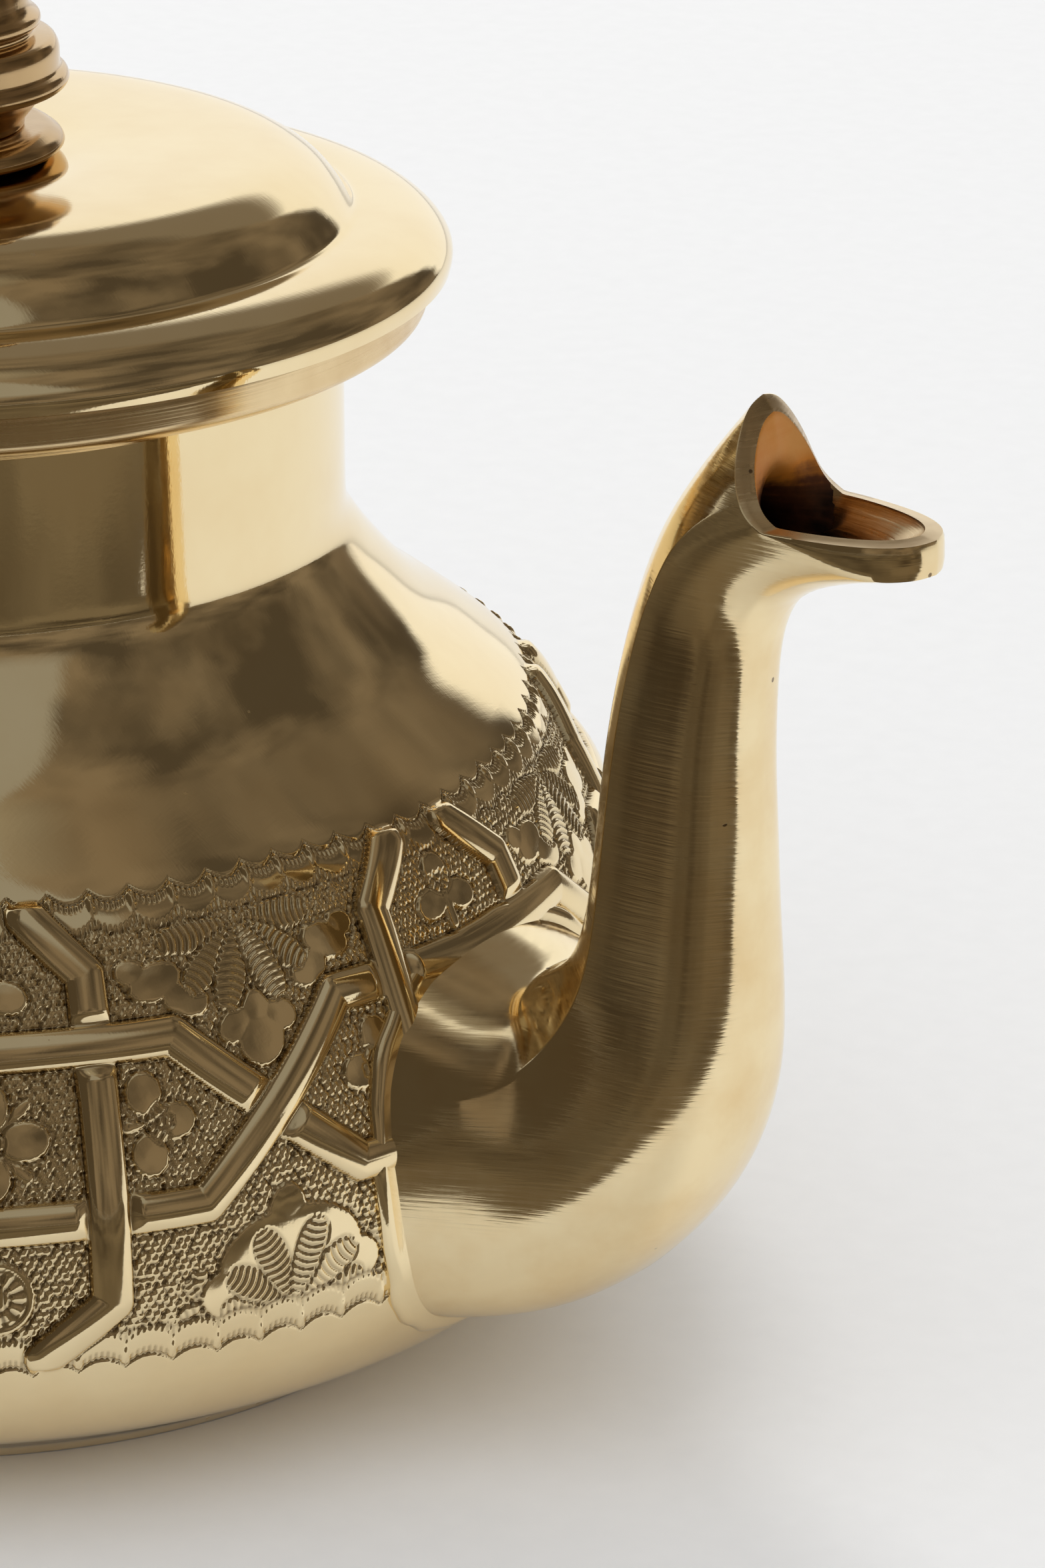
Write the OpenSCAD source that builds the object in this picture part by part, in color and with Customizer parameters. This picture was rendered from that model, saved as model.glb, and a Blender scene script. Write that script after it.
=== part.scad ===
// Brass tea and coffee pot with a goose-neck spout, hinged lid and C handle.
// Origin at the centre of the base, +Z up, spout towards +X, handle towards -X.
// All lengths in millimetres.

/* [Body] */
// Widest radius of the belly
belly_radius = 62.5; // [50:0.5:80]
// Height of the widest part of the belly above the table
belly_height = 21; // [14:0.5:32]
// Radius of the flat base
base_radius = 45.3; // [36:0.1:56]
// Outer radius of the straight neck
neck_radius = 34.8; // [28:0.1:42]
// Height of the plane in which the lid's edge closes
seat_height = 90; // [75:0.5:110]
// Length of the straight neck, from the seat down to where the shoulder has run out
neck_length = 22; // [14:0.5:30]
// Thickness of the spun sheet of the body
wall = 1.2; // [0.8:0.1:2]
// Thickness of the base plate
base_thickness = 1.2; // [0.8:0.1:3]

/* [Neck collar] */
// Overhang of the brushed collar's outer face beyond the neck
collar_overhang = 7.2; // [4:0.1:12]
// Height of the collar's outer face
collar_height = 3.6; // [2:0.1:6]
// Height of the sloped underside that runs back to the neck
collar_slope = 2.7; // [1.5:0.1:5]
// Gap between the collar and the closed lid
lid_gap = 0.3; // [0.2:0.05:0.8]

/* [Spout] */
// Height of the centre of the spout's root
root_height = 26.2; // [22:0.1:32]
// Half height of the spout's root on the belly
root_half_height = 15.9; // [12:0.1:18]
// Half width of the spout's root on the belly
root_half_width = 17.4; // [12:0.1:20]
// Distance of the spout's shaft beyond the belly's widest radius
shaft_offset = 14.5; // [10:0.5:24]
// Drop of the pouring lip below the seat, so that the pot fills before it spills
lip_drop = 5.4; // [2:0.1:14]
// Half width of the shaft from side to side
shaft_half_width = 6.1; // [4.5:0.1:7.5]
// Half depth of the shaft from pot side to outside
shaft_half_depth = 6.9; // [5:0.1:8.5]
// Reach of the pouring lip beyond the shaft's centre
lip_reach = 22.3; // [16:0.1:28]
// Height of the raised back lobe above the lip
lobe_height = 8.9; // [5:0.1:12]
// Thickness of the spout's cast wall
spout_wall = 1.4; // [1:0.1:2.2]
// Width of the solder flange around the root
flange_width = 1.5; // [1:0.1:3]
// Thickness of the solder flange
flange_thickness = 0.8; // [0.5:0.1:1.5]

/* [Strainer] */
// Radius of the opening through the body behind the strainer
outlet_radius = 10.5; // [6:0.5:12]
// Overlap of the strainer plate round the opening
strainer_lap = 2; // [1:0.5:3]
// Thickness of the strainer plate
strainer_thickness = 0.8; // [0.5:0.1:1.5]
// Radius of each strainer hole
strainer_hole = 1.1; // [0.6:0.1:1.4]
// Distance between strainer holes
strainer_pitch = 4; // [3:0.1:5]

/* [Lid] */
// Overhang of the lid's lower edge beyond the collar
lid_overhang = 2; // [1:0.1:4]
// Width of the lid's flange, from the dome's crease to the lower edge
lid_flange_width = 8.1; // [5:0.1:12]
// Height of the dome above the flange's crease
dome_rise = 5.4; // [3:0.1:14]
// Height of the flange's crease above its lower edge
flange_rise = 4.6; // [3:0.1:7]
// Thickness of the lid's sheet
lid_wall = 1; // [0.7:0.1:1.6]
// Depth of the locating skirt below the seat
skirt_depth = 8; // [5:0.5:14]
// Gap between the skirt and the inside of the neck
skirt_gap = 1; // [0.8:0.1:2]
// Thickness of the skirt
skirt_wall = 0.8; // [0.5:0.1:1.5]

/* [Knob] */
// Radius of the loose washer under the knob
washer_radius = 11.6; // [8:0.1:15]
// Thickness of the loose washer
washer_thickness = 2.4; // [1.5:0.1:4]
// Radius of the knob's lowest disc
disc_radius = 12.1; // [9:0.1:16]
// Radius of the knob's waist
waist_radius = 8.2; // [6:0.1:10]
// Height of the knob above its washer
knob_height = 34; // [26:0.5:44]
// Radius of the ball at the top of the knob
ball_radius = 6.6; // [5:0.1:9]
// Radius of the knob's stud
stud_radius = 2; // [1.5:0.1:2.5]
// Width across flats of the nut under the lid
nut_width = 7; // [6:0.1:9]
// Height of the nut
nut_height = 3; // [2:0.1:4]
// Radius of the flat washer under the lid
flat_washer_radius = 5; // [4:0.1:7]
// Thickness of the flat washer under the lid
flat_washer_thickness = 0.8; // [0.5:0.1:1.5]

/* [Hinge] */
// Distance of the hinge pin from the lid's edge
pin_offset = 4.6; // [3.8:0.1:7]
// Radius of the hinge pin
pin_radius = 1.5; // [1:0.1:2]
// Radius of the hinge knuckles
knuckle_radius = 2.6; // [2.2:0.1:3.5]
// Half width of the lid's knuckle
knuckle_half = 3.2; // [2.5:0.1:5]
// Width of each of the bracket's knuckles
ear_width = 3.6; // [2.5:0.1:5]
// Side gap between the knuckles
knuckle_gap = 0.3; // [0.2:0.05:0.6]
// Thickness of the hinge leaf on the lid
leaf_thickness = 1.3; // [0.8:0.1:2]
// Length of the leaf inward from the lid's edge
leaf_length = 7.3; // [6:0.1:7.8]
// Thickness of the bracket's foot on the collar
foot_thickness = 2.8; // [2:0.1:3.2]
// Radius of the rivets' shanks
rivet_radius = 1; // [0.7:0.1:1.3]

/* [Handle] */
// Drop of the upper socket's centre below the seat
upper_drop = 15.5; // [14:0.5:18]
// Height of the lower socket's centre
lower_height = 30; // [24:0.5:38]
// Length of the upper socket from the neck
upper_length = 11.2; // [8:0.1:16]
// Length of the lower socket from the belly
lower_length = 9.2; // [7:0.1:14]
// Outer radius of the sockets
socket_radius = 6; // [5:0.1:7.5]
// Radius of each socket's foot on the body
foot_radius = 8; // [7:0.1:10]
// Thickness of the insulating washers
insulator_thickness = 4; // [2:0.1:6]
// Distance of the handle's outermost point beyond the belly's widest radius
handle_offset = 39.5; // [30:0.5:56]
// Half width of the handle from side to side
handle_half_width = 5.2; // [4:0.1:7]
// Half thickness of the handle
handle_half_thickness = 3.6; // [2.8:0.1:5]
// Radius of the handle's studs
handle_stud_radius = 2; // [1.5:0.1:2.5]
// Depth of each stud in the handle and in the socket
stud_depth = 7.5; // [5:0.1:8]

/* [Hidden] */
$fn = 96;
fit = 0.05;      // clearance of a pin or shank in its hole
sink = 0.3;      // depth by which soldered pieces run into each other
shoulder_height = seat_height - neck_length;
collar_radius = neck_radius + collar_overhang;
shaft_distance = belly_radius + shaft_offset;
lip_height = seat_height - lip_drop;
lid_radius = collar_radius + lid_overhang;
dome_radius = lid_radius - lid_flange_width;
upper_height = seat_height - upper_drop;
handle_reach = belly_radius + handle_offset;

// ---------- curve helpers ----------
function at(p, i) = p[max(0, min(len(p) - 1, i))];
// Catmull-Rom curve through the points p with k steps in each span
function smooth(p, k) = concat([for (i = [0:len(p) - 2]) for (j = [0:k - 1])
    let (t = j / k, a = at(p, i - 1), b = p[i], c = p[i + 1], d = at(p, i + 2))
    0.5 * (2 * b + (c - a) * t + (2 * a - 5 * b + 4 * c - d) * t * t
      + (3 * b - a - 3 * c + d) * t * t * t)], [p[len(p) - 1]]);
function unit(v) = v / norm(v);
// outline p moved by d to its left
function offset_line(p, d) = [for (i = [0:len(p) - 1])
    let (t = unit(at(p, i + 1) - at(p, i - 1))) p[i] + d * [-t[1], t[0]]];
function rev(p) = [for (i = [len(p) - 1:-1:0]) p[i]];

// ---------- body profile ----------
// share of the way from base radius to belly radius, against height
low_shape = [[0, 0], [0.095, 0.14], [0.2, 0.36], [0.367, 0.69], [0.62, 0.924], [0.85, 0.995]];
// share of the way from neck radius to belly radius, against height
high_shape = [[0, 1], [0.157, 0.968], [0.298, 0.895], [0.438, 0.794], [0.547, 0.704],
  [0.645, 0.596], [0.728, 0.426], [0.804, 0.26], [0.906, 0.108], [0.981, 0.022], [1, 0]];
belly_line = smooth(concat(
    [for (q = low_shape) [base_radius + (belly_radius - base_radius) * q[1], belly_height * q[0]]],
    [for (q = high_shape) [neck_radius + (belly_radius - neck_radius) * q[1],
        belly_height + (shoulder_height - belly_height) * q[0]]]), 3);
collar_top = seat_height - lid_gap;
neck_top = collar_top - 0.4;
body_line = concat(belly_line, [[neck_radius, neck_top]]);
body_inner = concat(offset_line(belly_line, wall), [[neck_radius - wall, neck_top]]);
inner_low = [body_inner[0][0], 0];
// outer and inner radius of the body at height z
function body_r(z) = lookup(z, [for (q = body_line) [q[1], q[0]]]);
function inner_r(z) = lookup(z, [for (q = body_inner) [q[1], q[0]]]);

module turned(p) { rotate_extrude() polygon(p); }
module body_solid() { turned(concat([[0, 0]], body_line, [[0, neck_top]])); }
module along_x(x0, x1, r, y = 0, z = 0) {
  translate([min(x0, x1), y, z]) rotate([0, 90, 0]) cylinder(r = r, h = abs(x1 - x0));
}

module body_shell() {
  color("gold") difference() {
    turned(concat([inner_low], body_line, rev(body_inner)));
    along_x(belly_radius - 14, belly_radius + 4, outlet_radius, 0, root_height);
  }
}

module base_plate() {
  color("goldenrod") cylinder(r = inner_low[0] + sink, h = base_thickness);
}

module neck_collar() {
  z1 = collar_top - collar_height;
  w = collar_radius - neck_radius;
  color("darkkhaki") turned([[neck_radius, z1 - collar_slope],
    [neck_radius + 0.25 * w, z1 - 0.55 * collar_slope], [neck_radius + 0.8 * w, z1 - 0.15 * collar_slope],
    [collar_radius - 0.3, z1 + 0.25], [collar_radius, z1 + 0.8], [collar_radius, collar_top - 0.6],
    [collar_radius - 0.15, collar_top - 0.2], [collar_radius - 0.6, collar_top], [neck_radius, collar_top]]);
}

// ---------- spout ----------
side_n = 28;
// centre x (0 root, 1 shaft) and z (0 root, 1 lip), tangent angle, half depth and
// half width as a share of the way from the root's size to the shaft's
spout_path = [[0.26, 0.01, 14, 0.19, 0.25], [0.52, 0.045, 27, 0.39, 0.44], [0.73, 0.103, 45, 0.57, 0.6],
  [0.88, 0.183, 64, 0.71, 0.73], [0.945, 0.274, 80, 0.82, 0.83], [0.968, 0.382, 89, 0.9, 0.9],
  [0.98, 0.502, 91, 0.945, 0.955], [1, 0.622, 88, 1, 1], [1.05, 0.741, 83, 1.06, 1.04],
  [1.14, 0.846, 76, 1.1, 1.07], [1.28, 0.918, 68, 1.07, 1.045]];
root_x = body_r(root_height);
function spout_c(q) = [root_x + (shaft_distance - root_x) * q[0], root_height + (lip_height - root_height) * q[1]];
function spout_a(q) = root_half_height + (shaft_half_depth - root_half_height) * q[3];
function spout_b(q) = root_half_width + (shaft_half_width - root_half_width) * q[4];
// mouth outline against the angle round the section: x share of the reach, y share of
// the half width, z share of the lobe's height
mouth_out = [[0, 1, 0, 0], [30, 0.95, 0.46, 0], [55, 0.807, 0.8, 0], [78, 0.61, 0.97, 0], [98, 0.457, 1.02, 0],
  [115, 0.368, 0.97, 0.18], [132, 0.323, 0.85, 0.47], [152, 0.296, 0.56, 0.79], [166, 0.287, 0.3, 0.94], [180, 0.287, 0, 1]];
mouth_in = [[0, 0.93, 0, 0.03], [30, 0.89, 0.32, 0.03], [55, 0.775, 0.58, 0.03], [78, 0.61, 0.74, 0.03], [98, 0.49, 0.78, 0.03],
  [115, 0.42, 0.75, 0.17], [132, 0.375, 0.64, 0.42], [152, 0.345, 0.4, 0.68], [166, 0.335, 0.2, 0.8], [180, 0.335, 0, 0.85]];
function pick(t, f, c) = lookup(f, [for (q = t) [q[0], q[c]]]);
function mouth_ring(t) = [for (i = [0:side_n - 1]) let (f = 360 * i / side_n, g = min(f, 360 - f))
    [shaft_distance + lip_reach * pick(t, g, 1),
      (f > 180 ? -1 : 1) * shaft_half_width * pick(t, g, 2),
      lip_height + lobe_height * pick(t, g, 3)]];
// oval on the belly's surface, raised by up
function root_ring(a, b, up) = [for (i = [0:side_n - 1]) let (f = 360 * i / side_n,
      y = b * sin(f), z = root_height - a * cos(f), r = body_r(z) + up) [sqrt(r * r - y * y), y, z]];
function spout_ring(q, w) = let (c = spout_c(q), a = spout_a(q) - w, b = spout_b(q) - w)
  [for (i = [0:side_n - 1]) let (f = 360 * i / side_n)
    [c[0] + a * cos(f) * sin(q[2]), b * sin(f), c[1] - a * cos(f) * cos(q[2])]];
// closed skin through rings that return to the first ring
module ring_loop(rings) {
  n = len(rings[0]);
  m = len(rings);
  polyhedron(points = [for (r = rings) for (p = r) p],
    faces = [for (k = [0:m - 1]) for (i = [0:n - 1]) for (h = [0, 1])
      let (a = k * n + i, b = k * n + (i + 1) % n, c = ((k + 1) % m) * n + i, d = ((k + 1) % m) * n + (i + 1) % n)
      h == 0 ? [a, c, b] : [b, c, d]]);
}
module spout() {
  color("gold") ring_loop(concat([root_ring(root_half_height, root_half_width, -sink)],
    [for (q = spout_path) spout_ring(q, 0)], [mouth_ring(mouth_out)], [mouth_ring(mouth_in)],
    [for (q = rev(spout_path)) spout_ring(q, spout_wall)],
    [root_ring(root_half_height - spout_wall, root_half_width - spout_wall, -sink)]));
}
module spout_flange() {
  color("goldenrod") ring_loop([
    root_ring(root_half_height - 0.6, root_half_width - 0.6, -sink),
    root_ring(root_half_height + flange_width, root_half_width + flange_width, -sink),
    root_ring(root_half_height + flange_width - 0.2, root_half_width + flange_width - 0.2, flange_thickness - 0.3),
    root_ring(root_half_height + 0.3, root_half_width + 0.3, flange_thickness),
    root_ring(root_half_height - 0.6, root_half_width - 0.6, flange_thickness)]);
}

module strainer_plate() {
  rs = outlet_radius + strainer_lap;
  zs = [for (k = [-4:4]) root_height + k * (rs + 1) / 4];
  n = floor((outlet_radius - strainer_hole) / strainer_pitch);
  color("khaki") difference() {
    intersection() {
      turned(concat([for (z = zs) [inner_r(z) + 0.1, z]], [for (z = rev(zs)) [inner_r(z) - strainer_thickness, z]]));
      along_x(belly_radius - 16, belly_radius + 4, rs, 0, root_height);
    }
    for (i = [-n:n]) for (j = [-n:n])
      if (norm([i, j]) * strainer_pitch <= outlet_radius - strainer_hole - 0.4)
        along_x(belly_radius - 18, belly_radius + 6, strainer_hole, i * strainer_pitch, root_height + j * strainer_pitch, $fn = 24);
  }
}

// ---------- lid ----------
crease_z = seat_height + flange_rise;
top_z = crease_z + dome_rise - 0.4;
// share of the dome's radius and of its rise, from the centre out to the crease
dome_shape = [[0.33, 0.925], [0.42, 0.985], [0.56, 1.01], [0.72, 0.99], [0.83, 0.9], [0.908, 0.66], [0.957, 0.37], [1, 0]];
// share of the way from crease to edge, and of the flange's height
edge_shape = [[0.23, 0.985], [0.5, 0.92], [0.73, 0.8], [0.92, 0.56], [1.03, 0.27], [1.01, 0.08], [1, 0]];
dome_line = smooth([for (q = dome_shape) [dome_radius * q[0], crease_z + dome_rise * q[1]]], 3);
edge_line = smooth(concat([[dome_radius, crease_z]],
    [for (q = edge_shape) [dome_radius + (lid_radius - dome_radius) * q[0], seat_height + flange_rise * q[1]]]), 2);
lid_line = concat([[0, crease_z + dome_rise * 0.925]], dome_line, [for (i = [1:len(edge_line) - 1]) edge_line[i]]);
knob_z = crease_z + dome_rise * 0.925;
lid_inner = offset_line(lid_line, -lid_wall);
module lid_solid() { turned(concat(lid_line, [[0, seat_height]])); }
rivet_x = -(lid_radius - leaf_length + 2.5);
rivet_y = knuckle_half + 0.4;
module lid_shell() {
  last = len(lid_line) - 1;
  color("gold") difference() {
    turned(concat([lid_line[0]], [for (i = [1:last]) lid_line[i]], [[lid_radius - lid_wall, seat_height]],
      [for (i = [last - 1:-1:1]) lid_inner[i]], [[0, knob_z - lid_wall]]));
    translate([0, 0, seat_height]) cylinder(r = stud_radius + fit, h = knob_z);
    for (s = [-1, 1]) translate([rivet_x, s * rivet_y, seat_height]) cylinder(r = rivet_radius + fit, h = 20, $fn = 32);
  }
}
skirt_radius = neck_radius - wall - skirt_gap;
module lid_skirt() {
  color("khaki") turned([[skirt_radius - skirt_wall, seat_height - skirt_depth], [skirt_radius, seat_height - skirt_depth],
    [skirt_radius, seat_height], [lid_radius - lid_wall + sink / 2, seat_height],
    [lid_radius - lid_wall + sink / 2, seat_height + skirt_wall], [skirt_radius - skirt_wall, seat_height + skirt_wall]]);
}

// ---------- knob ----------
finial_z = knob_z + washer_thickness;
module knob_washer() {
  h = washer_thickness;
  color("peru") turned([[stud_radius + fit, knob_z], [washer_radius - 1.6, knob_z], [washer_radius - 0.5, knob_z + 0.17 * h],
    [washer_radius, knob_z + 0.42 * h], [washer_radius - 0.3, knob_z + 0.7 * h], [washer_radius - 1.3, knob_z + h],
    [stud_radius + fit, knob_z + h]]);
}
// knob outline: radius and height as [share of disc radius or own radius, height share]
stem = knob_height;
bore_depth = 14;
knob_line = [[waist_radius, 0], [waist_radius, 0.02 * stem], [disc_radius - 2.4, 0.075 * stem], [disc_radius - 0.3, 0.105 * stem],
  [disc_radius, 0.12 * stem], [disc_radius - 0.2, 0.14 * stem], [disc_radius - 0.8, 0.15 * stem], [disc_radius - 0.8, 0.2 * stem],
  [disc_radius - 1.2, 0.225 * stem], [disc_radius - 3, 0.235 * stem], [disc_radius - 3, 0.25 * stem], [disc_radius - 2.3, 0.26 * stem],
  [disc_radius - 2.3, 0.28 * stem], [disc_radius - 3.2, 0.3 * stem], [disc_radius - 3.5, 0.34 * stem], [disc_radius - 4.6, 0.42 * stem],
  [disc_radius - 4, 0.44 * stem], [disc_radius - 4, 0.47 * stem], [disc_radius - 5.6, 0.5 * stem], [disc_radius - 7.9, 0.55 * stem],
  [disc_radius - 8.3, 0.6 * stem]];
ball_z = stem - ball_radius - 2.2;
ball_line = [for (t = [-60:15:75]) [ball_radius * cos(t), ball_z + ball_radius * sin(t)]];
module knob_finial() {
  color("peru") translate([0, 0, finial_z]) difference() {
    turned(concat([[0, 0]], knob_line, ball_line, [[1.1, stem - 2.1], [1.3, stem - 1.2], [0.9, stem - 0.3], [0, stem]]));
    translate([0, 0, -1]) cylinder(r = stud_radius + fit, h = bore_depth + 1);
  }
}
under_z = knob_z - lid_wall;
module knob_stud() {
  z0 = under_z - flat_washer_thickness - nut_height - 0.8;
  color("silver") translate([0, 0, z0]) cylinder(r = stud_radius, h = finial_z + bore_depth - 0.5 - z0);
}
module knob_flat_washer() {
  color("silver") difference() {
    translate([0, 0, under_z - flat_washer_thickness]) cylinder(r = flat_washer_radius, h = flat_washer_thickness);
    translate([0, 0, under_z - 5]) cylinder(r = stud_radius + fit, h = 10);
  }
}
module knob_nut() {
  color("silver") difference() {
    translate([0, 0, under_z - flat_washer_thickness - nut_height]) cylinder(r = nut_width / sqrt(3), h = nut_height, $fn = 6);
    translate([0, 0, under_z - 10]) cylinder(r = stud_radius + fit / 2, h = 12);
  }
}

// ---------- hinge ----------
pin_x = -(lid_radius + pin_offset);
leaf_z = crease_z;
pin_z = leaf_z + leaf_thickness - knuckle_radius;
ear_y = knuckle_half + knuckle_gap;
module along_y(r, y0, y1, x = pin_x, z = pin_z) {
  translate([x, y1, z]) rotate([90, 0, 0]) cylinder(r = r, h = y1 - y0);
}
module hinge_leaf() {
  w = knuckle_half + 3.4;
  x1 = -(lid_radius - leaf_length);
  x0 = pin_x + knuckle_radius + 0.5;
  color("goldenrod") difference() {
    union() {
      along_y(knuckle_radius, -knuckle_half, knuckle_half);
      translate([pin_x, -knuckle_half, leaf_z - 0.2]) cube([x1 - pin_x, 2 * knuckle_half, leaf_thickness + 0.2]);
      translate([x0, -w, leaf_z - 0.9]) cube([x1 - x0, 2 * w, leaf_thickness + 0.9]);
    }
    lid_solid();
    along_y(pin_radius + fit, -20, 20);
    for (s = [-1, 1]) translate([rivet_x, s * rivet_y, seat_height]) cylinder(r = rivet_radius + fit, h = 20, $fn = 32);
  }
}
module hinge_rivets() {
  zt = leaf_z + leaf_thickness;
  zb = seat_height + 0.5 * flange_rise;
  color("silver") for (s = [-1, 1]) translate([rivet_x, s * rivet_y, 0]) {
    translate([0, 0, zb]) cylinder(r = rivet_radius, h = zt + 0.3 - zb, $fn = 32);
    translate([0, 0, zt]) cylinder(r1 = rivet_radius + 0.8, r2 = rivet_radius + 0.2, h = 0.8, $fn = 32);
    translate([0, 0, zb - 0.3]) cylinder(r = rivet_radius + 0.5, h = 0.8, $fn = 32);
  }
}
foot_z = collar_top - collar_height - 0.2;
module hinge_bracket() {
  x0 = pin_x - knuckle_radius;
  w = ear_y + ear_width;
  color("goldenrod") difference() {
    union() {
      for (s = [-1, 1]) {
        along_y(knuckle_radius, s < 0 ? -w : ear_y, s < 0 ? -ear_y : w);
        translate([x0, s < 0 ? -w : ear_y, foot_z]) cube([2 * knuckle_radius, ear_width, pin_z - foot_z]);
      }
      translate([x0, -w, foot_z]) cube([-collar_radius + 2 - x0, 2 * w, foot_thickness]);
    }
    translate([0, 0, foot_z - 5]) cylinder(r = collar_radius - 0.1, h = 30);
    along_y(pin_radius + fit / 2, -20, 20);
  }
}
module hinge_pin() {
  w = ear_y + ear_width;
  color("silver") {
    along_y(pin_radius, -w - 0.4, w + 0.4);
    for (s = [-1, 1]) along_y(pin_radius + 0.8, s < 0 ? -w - 0.9 : w, s < 0 ? -w : w + 0.9);
  }
}

// ---------- handle ----------
upper_x = -(neck_radius + upper_length);
lower_x = -(body_r(lower_height) + lower_length);
module socket(x, z, r, h) {
  color("goldenrod") difference() {
    union() {
      along_x(x, -h + 10, r, 0, z);
      along_x(-h - 1.9, -h + 10, foot_radius, 0, z);
    }
    body_solid();
    along_x(x - 1, x + stud_depth, handle_stud_radius + fit, 0, z);
  }
}
module upper_socket() { socket(upper_x, upper_height, socket_radius, neck_radius); }
module lower_socket() { socket(lower_x, lower_height, socket_radius, body_r(lower_height)); }
module insulator(x, z) {
  color("black") difference() {
    along_x(x - insulator_thickness, x, socket_radius + 0.4, 0, z);
    along_x(x - insulator_thickness - 1, x + 1, handle_stud_radius + fit, 0, z);
  }
}
module upper_insulator() { insulator(upper_x, upper_height); }
module lower_insulator() { insulator(lower_x, lower_height); }

hx0 = upper_x - insulator_thickness;
hx1 = lower_x - insulator_thickness;
// handle path: x share of the reach beyond each end, z from the lower to the upper socket,
// half thickness and half width as shares of the way from the round end to the full section
handle_path = [[0, 1, 0], [0.1, 1.0, 0.1], [0.25, 1.06, 0.6], [0.42, 1.16, 1], [0.6, 1.215, 1], [0.78, 1.15, 1], [0.92, 0.985, 1],
  [0.995, 0.74, 1], [1, 0.47, 1]];
handle_low = [[0.87, 0.235, 1], [0.62, 0.07, 1], [0.4, 0.015, 0.7], [0.15, 0, 0.1], [0, 0, 0]];
handle_line = smooth(concat(
    [for (q = handle_path) [hx0 - (handle_reach + hx0) * q[0], lower_height + (upper_height - lower_height) * q[1], q[2]]],
    [for (q = handle_low) [hx1 - (handle_reach + hx1) * q[0], lower_height + (upper_height - lower_height) * q[1], q[2]]]), 2);
handle_n = 16;
function handle_ring(i) = let (p = handle_line[i], m = len(handle_line) - 1,
    t = i == 0 ? [-1, 0] : i == m ? [1, 0] : unit([for (c = [0, 1]) handle_line[i + 1][c] - handle_line[i - 1][c]]),
    a = socket_radius - 0.4 + (handle_half_thickness - socket_radius + 0.4) * p[2],
    b = socket_radius - 0.4 + (handle_half_width - socket_radius + 0.4) * p[2])
  [for (j = [0:handle_n - 1]) let (f = 360 * (j + 0.5) / handle_n)
    [p[0] - a * cos(f) * t[1], b * sin(f), p[1] + a * cos(f) * t[0]]];
module handle() {
  m = len(handle_line);
  color("gold") difference() {
    polyhedron(points = [for (i = [0:m - 1]) for (p = handle_ring(i)) p],
      faces = concat([[for (j = [0:handle_n - 1]) j]],
        [for (i = [0:m - 2]) for (j = [0:handle_n - 1]) for (h = [0, 1])
          let (a = i * handle_n + j, b = i * handle_n + (j + 1) % handle_n)
          h == 0 ? [a, a + handle_n, b] : [b, a + handle_n, b + handle_n]],
        [[for (j = [handle_n - 1:-1:0]) (m - 1) * handle_n + j]]));
    along_x(hx0 - stud_depth, hx0 + 1, handle_stud_radius + fit, 0, upper_height);
    along_x(hx1 - stud_depth, hx1 + 1, handle_stud_radius + fit, 0, lower_height);
  }
}
module handle_studs() {
  color("silver") {
    along_x(hx0 - stud_depth + 0.5, upper_x + stud_depth - 0.5, handle_stud_radius, 0, upper_height);
    along_x(hx1 - stud_depth + 0.5, lower_x + stud_depth - 0.5, handle_stud_radius, 0, lower_height);
  }
}

body_shell();
base_plate();
neck_collar();
spout();
spout_flange();
strainer_plate();
lid_shell();
lid_skirt();
knob_washer();
knob_finial();
knob_stud();
knob_flat_washer();
knob_nut();
hinge_bracket();
hinge_leaf();
hinge_pin();
hinge_rivets();
upper_socket();
lower_socket();
upper_insulator();
lower_insulator();
handle();
handle_studs();
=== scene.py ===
import math

import bmesh
import bpy
import numpy as np
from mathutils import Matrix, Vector


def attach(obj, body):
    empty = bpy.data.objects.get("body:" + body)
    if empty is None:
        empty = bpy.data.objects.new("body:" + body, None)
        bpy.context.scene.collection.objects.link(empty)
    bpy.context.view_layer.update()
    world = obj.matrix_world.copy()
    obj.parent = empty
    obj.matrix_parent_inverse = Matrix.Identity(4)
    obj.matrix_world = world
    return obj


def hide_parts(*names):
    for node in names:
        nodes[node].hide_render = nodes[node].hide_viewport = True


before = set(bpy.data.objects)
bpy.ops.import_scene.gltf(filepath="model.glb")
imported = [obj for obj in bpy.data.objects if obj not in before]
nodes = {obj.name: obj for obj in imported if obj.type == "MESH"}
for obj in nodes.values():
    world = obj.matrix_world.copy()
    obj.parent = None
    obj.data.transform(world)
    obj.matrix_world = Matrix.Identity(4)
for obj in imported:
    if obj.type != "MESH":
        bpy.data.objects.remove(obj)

# Looks of a brass coffee pot with an embossed band, goose-neck spout and hinged lid.
# Sizes repeat part.scad, in millimetres; make() turns them into metres.
MM = 0.001
DEG = math.pi / 180
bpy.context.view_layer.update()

belly_radius, belly_height, base_radius, neck_radius = 62.5, 21.0, 45.3, 34.8
seat_height, neck_length, wall = 90.0, 22.0, 1.2
shoulder_height = seat_height - neck_length
collar_overhang, collar_height, collar_slope, lid_gap = 7.2, 3.6, 2.7, 0.3
collar_radius = neck_radius + collar_overhang
root_height, root_half_height, root_half_width = 26.2, 15.9, 17.4
shaft_offset, lip_drop, shaft_half_width, shaft_half_depth = 14.5, 5.4, 6.1, 6.9
shaft_distance, lip_height = belly_radius + shaft_offset, seat_height - lip_drop
lip_reach, lobe_height, spout_wall = 22.3, 8.9, 1.4
lid_overhang, lid_flange_width, dome_rise, flange_rise, lid_wall = 2.0, 8.1, 5.4, 4.6, 1.0
lid_radius = collar_radius + lid_overhang
dome_radius = lid_radius - lid_flange_width
washer_radius, washer_thickness, disc_radius, waist_radius = 11.6, 2.4, 12.1, 8.2
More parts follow.
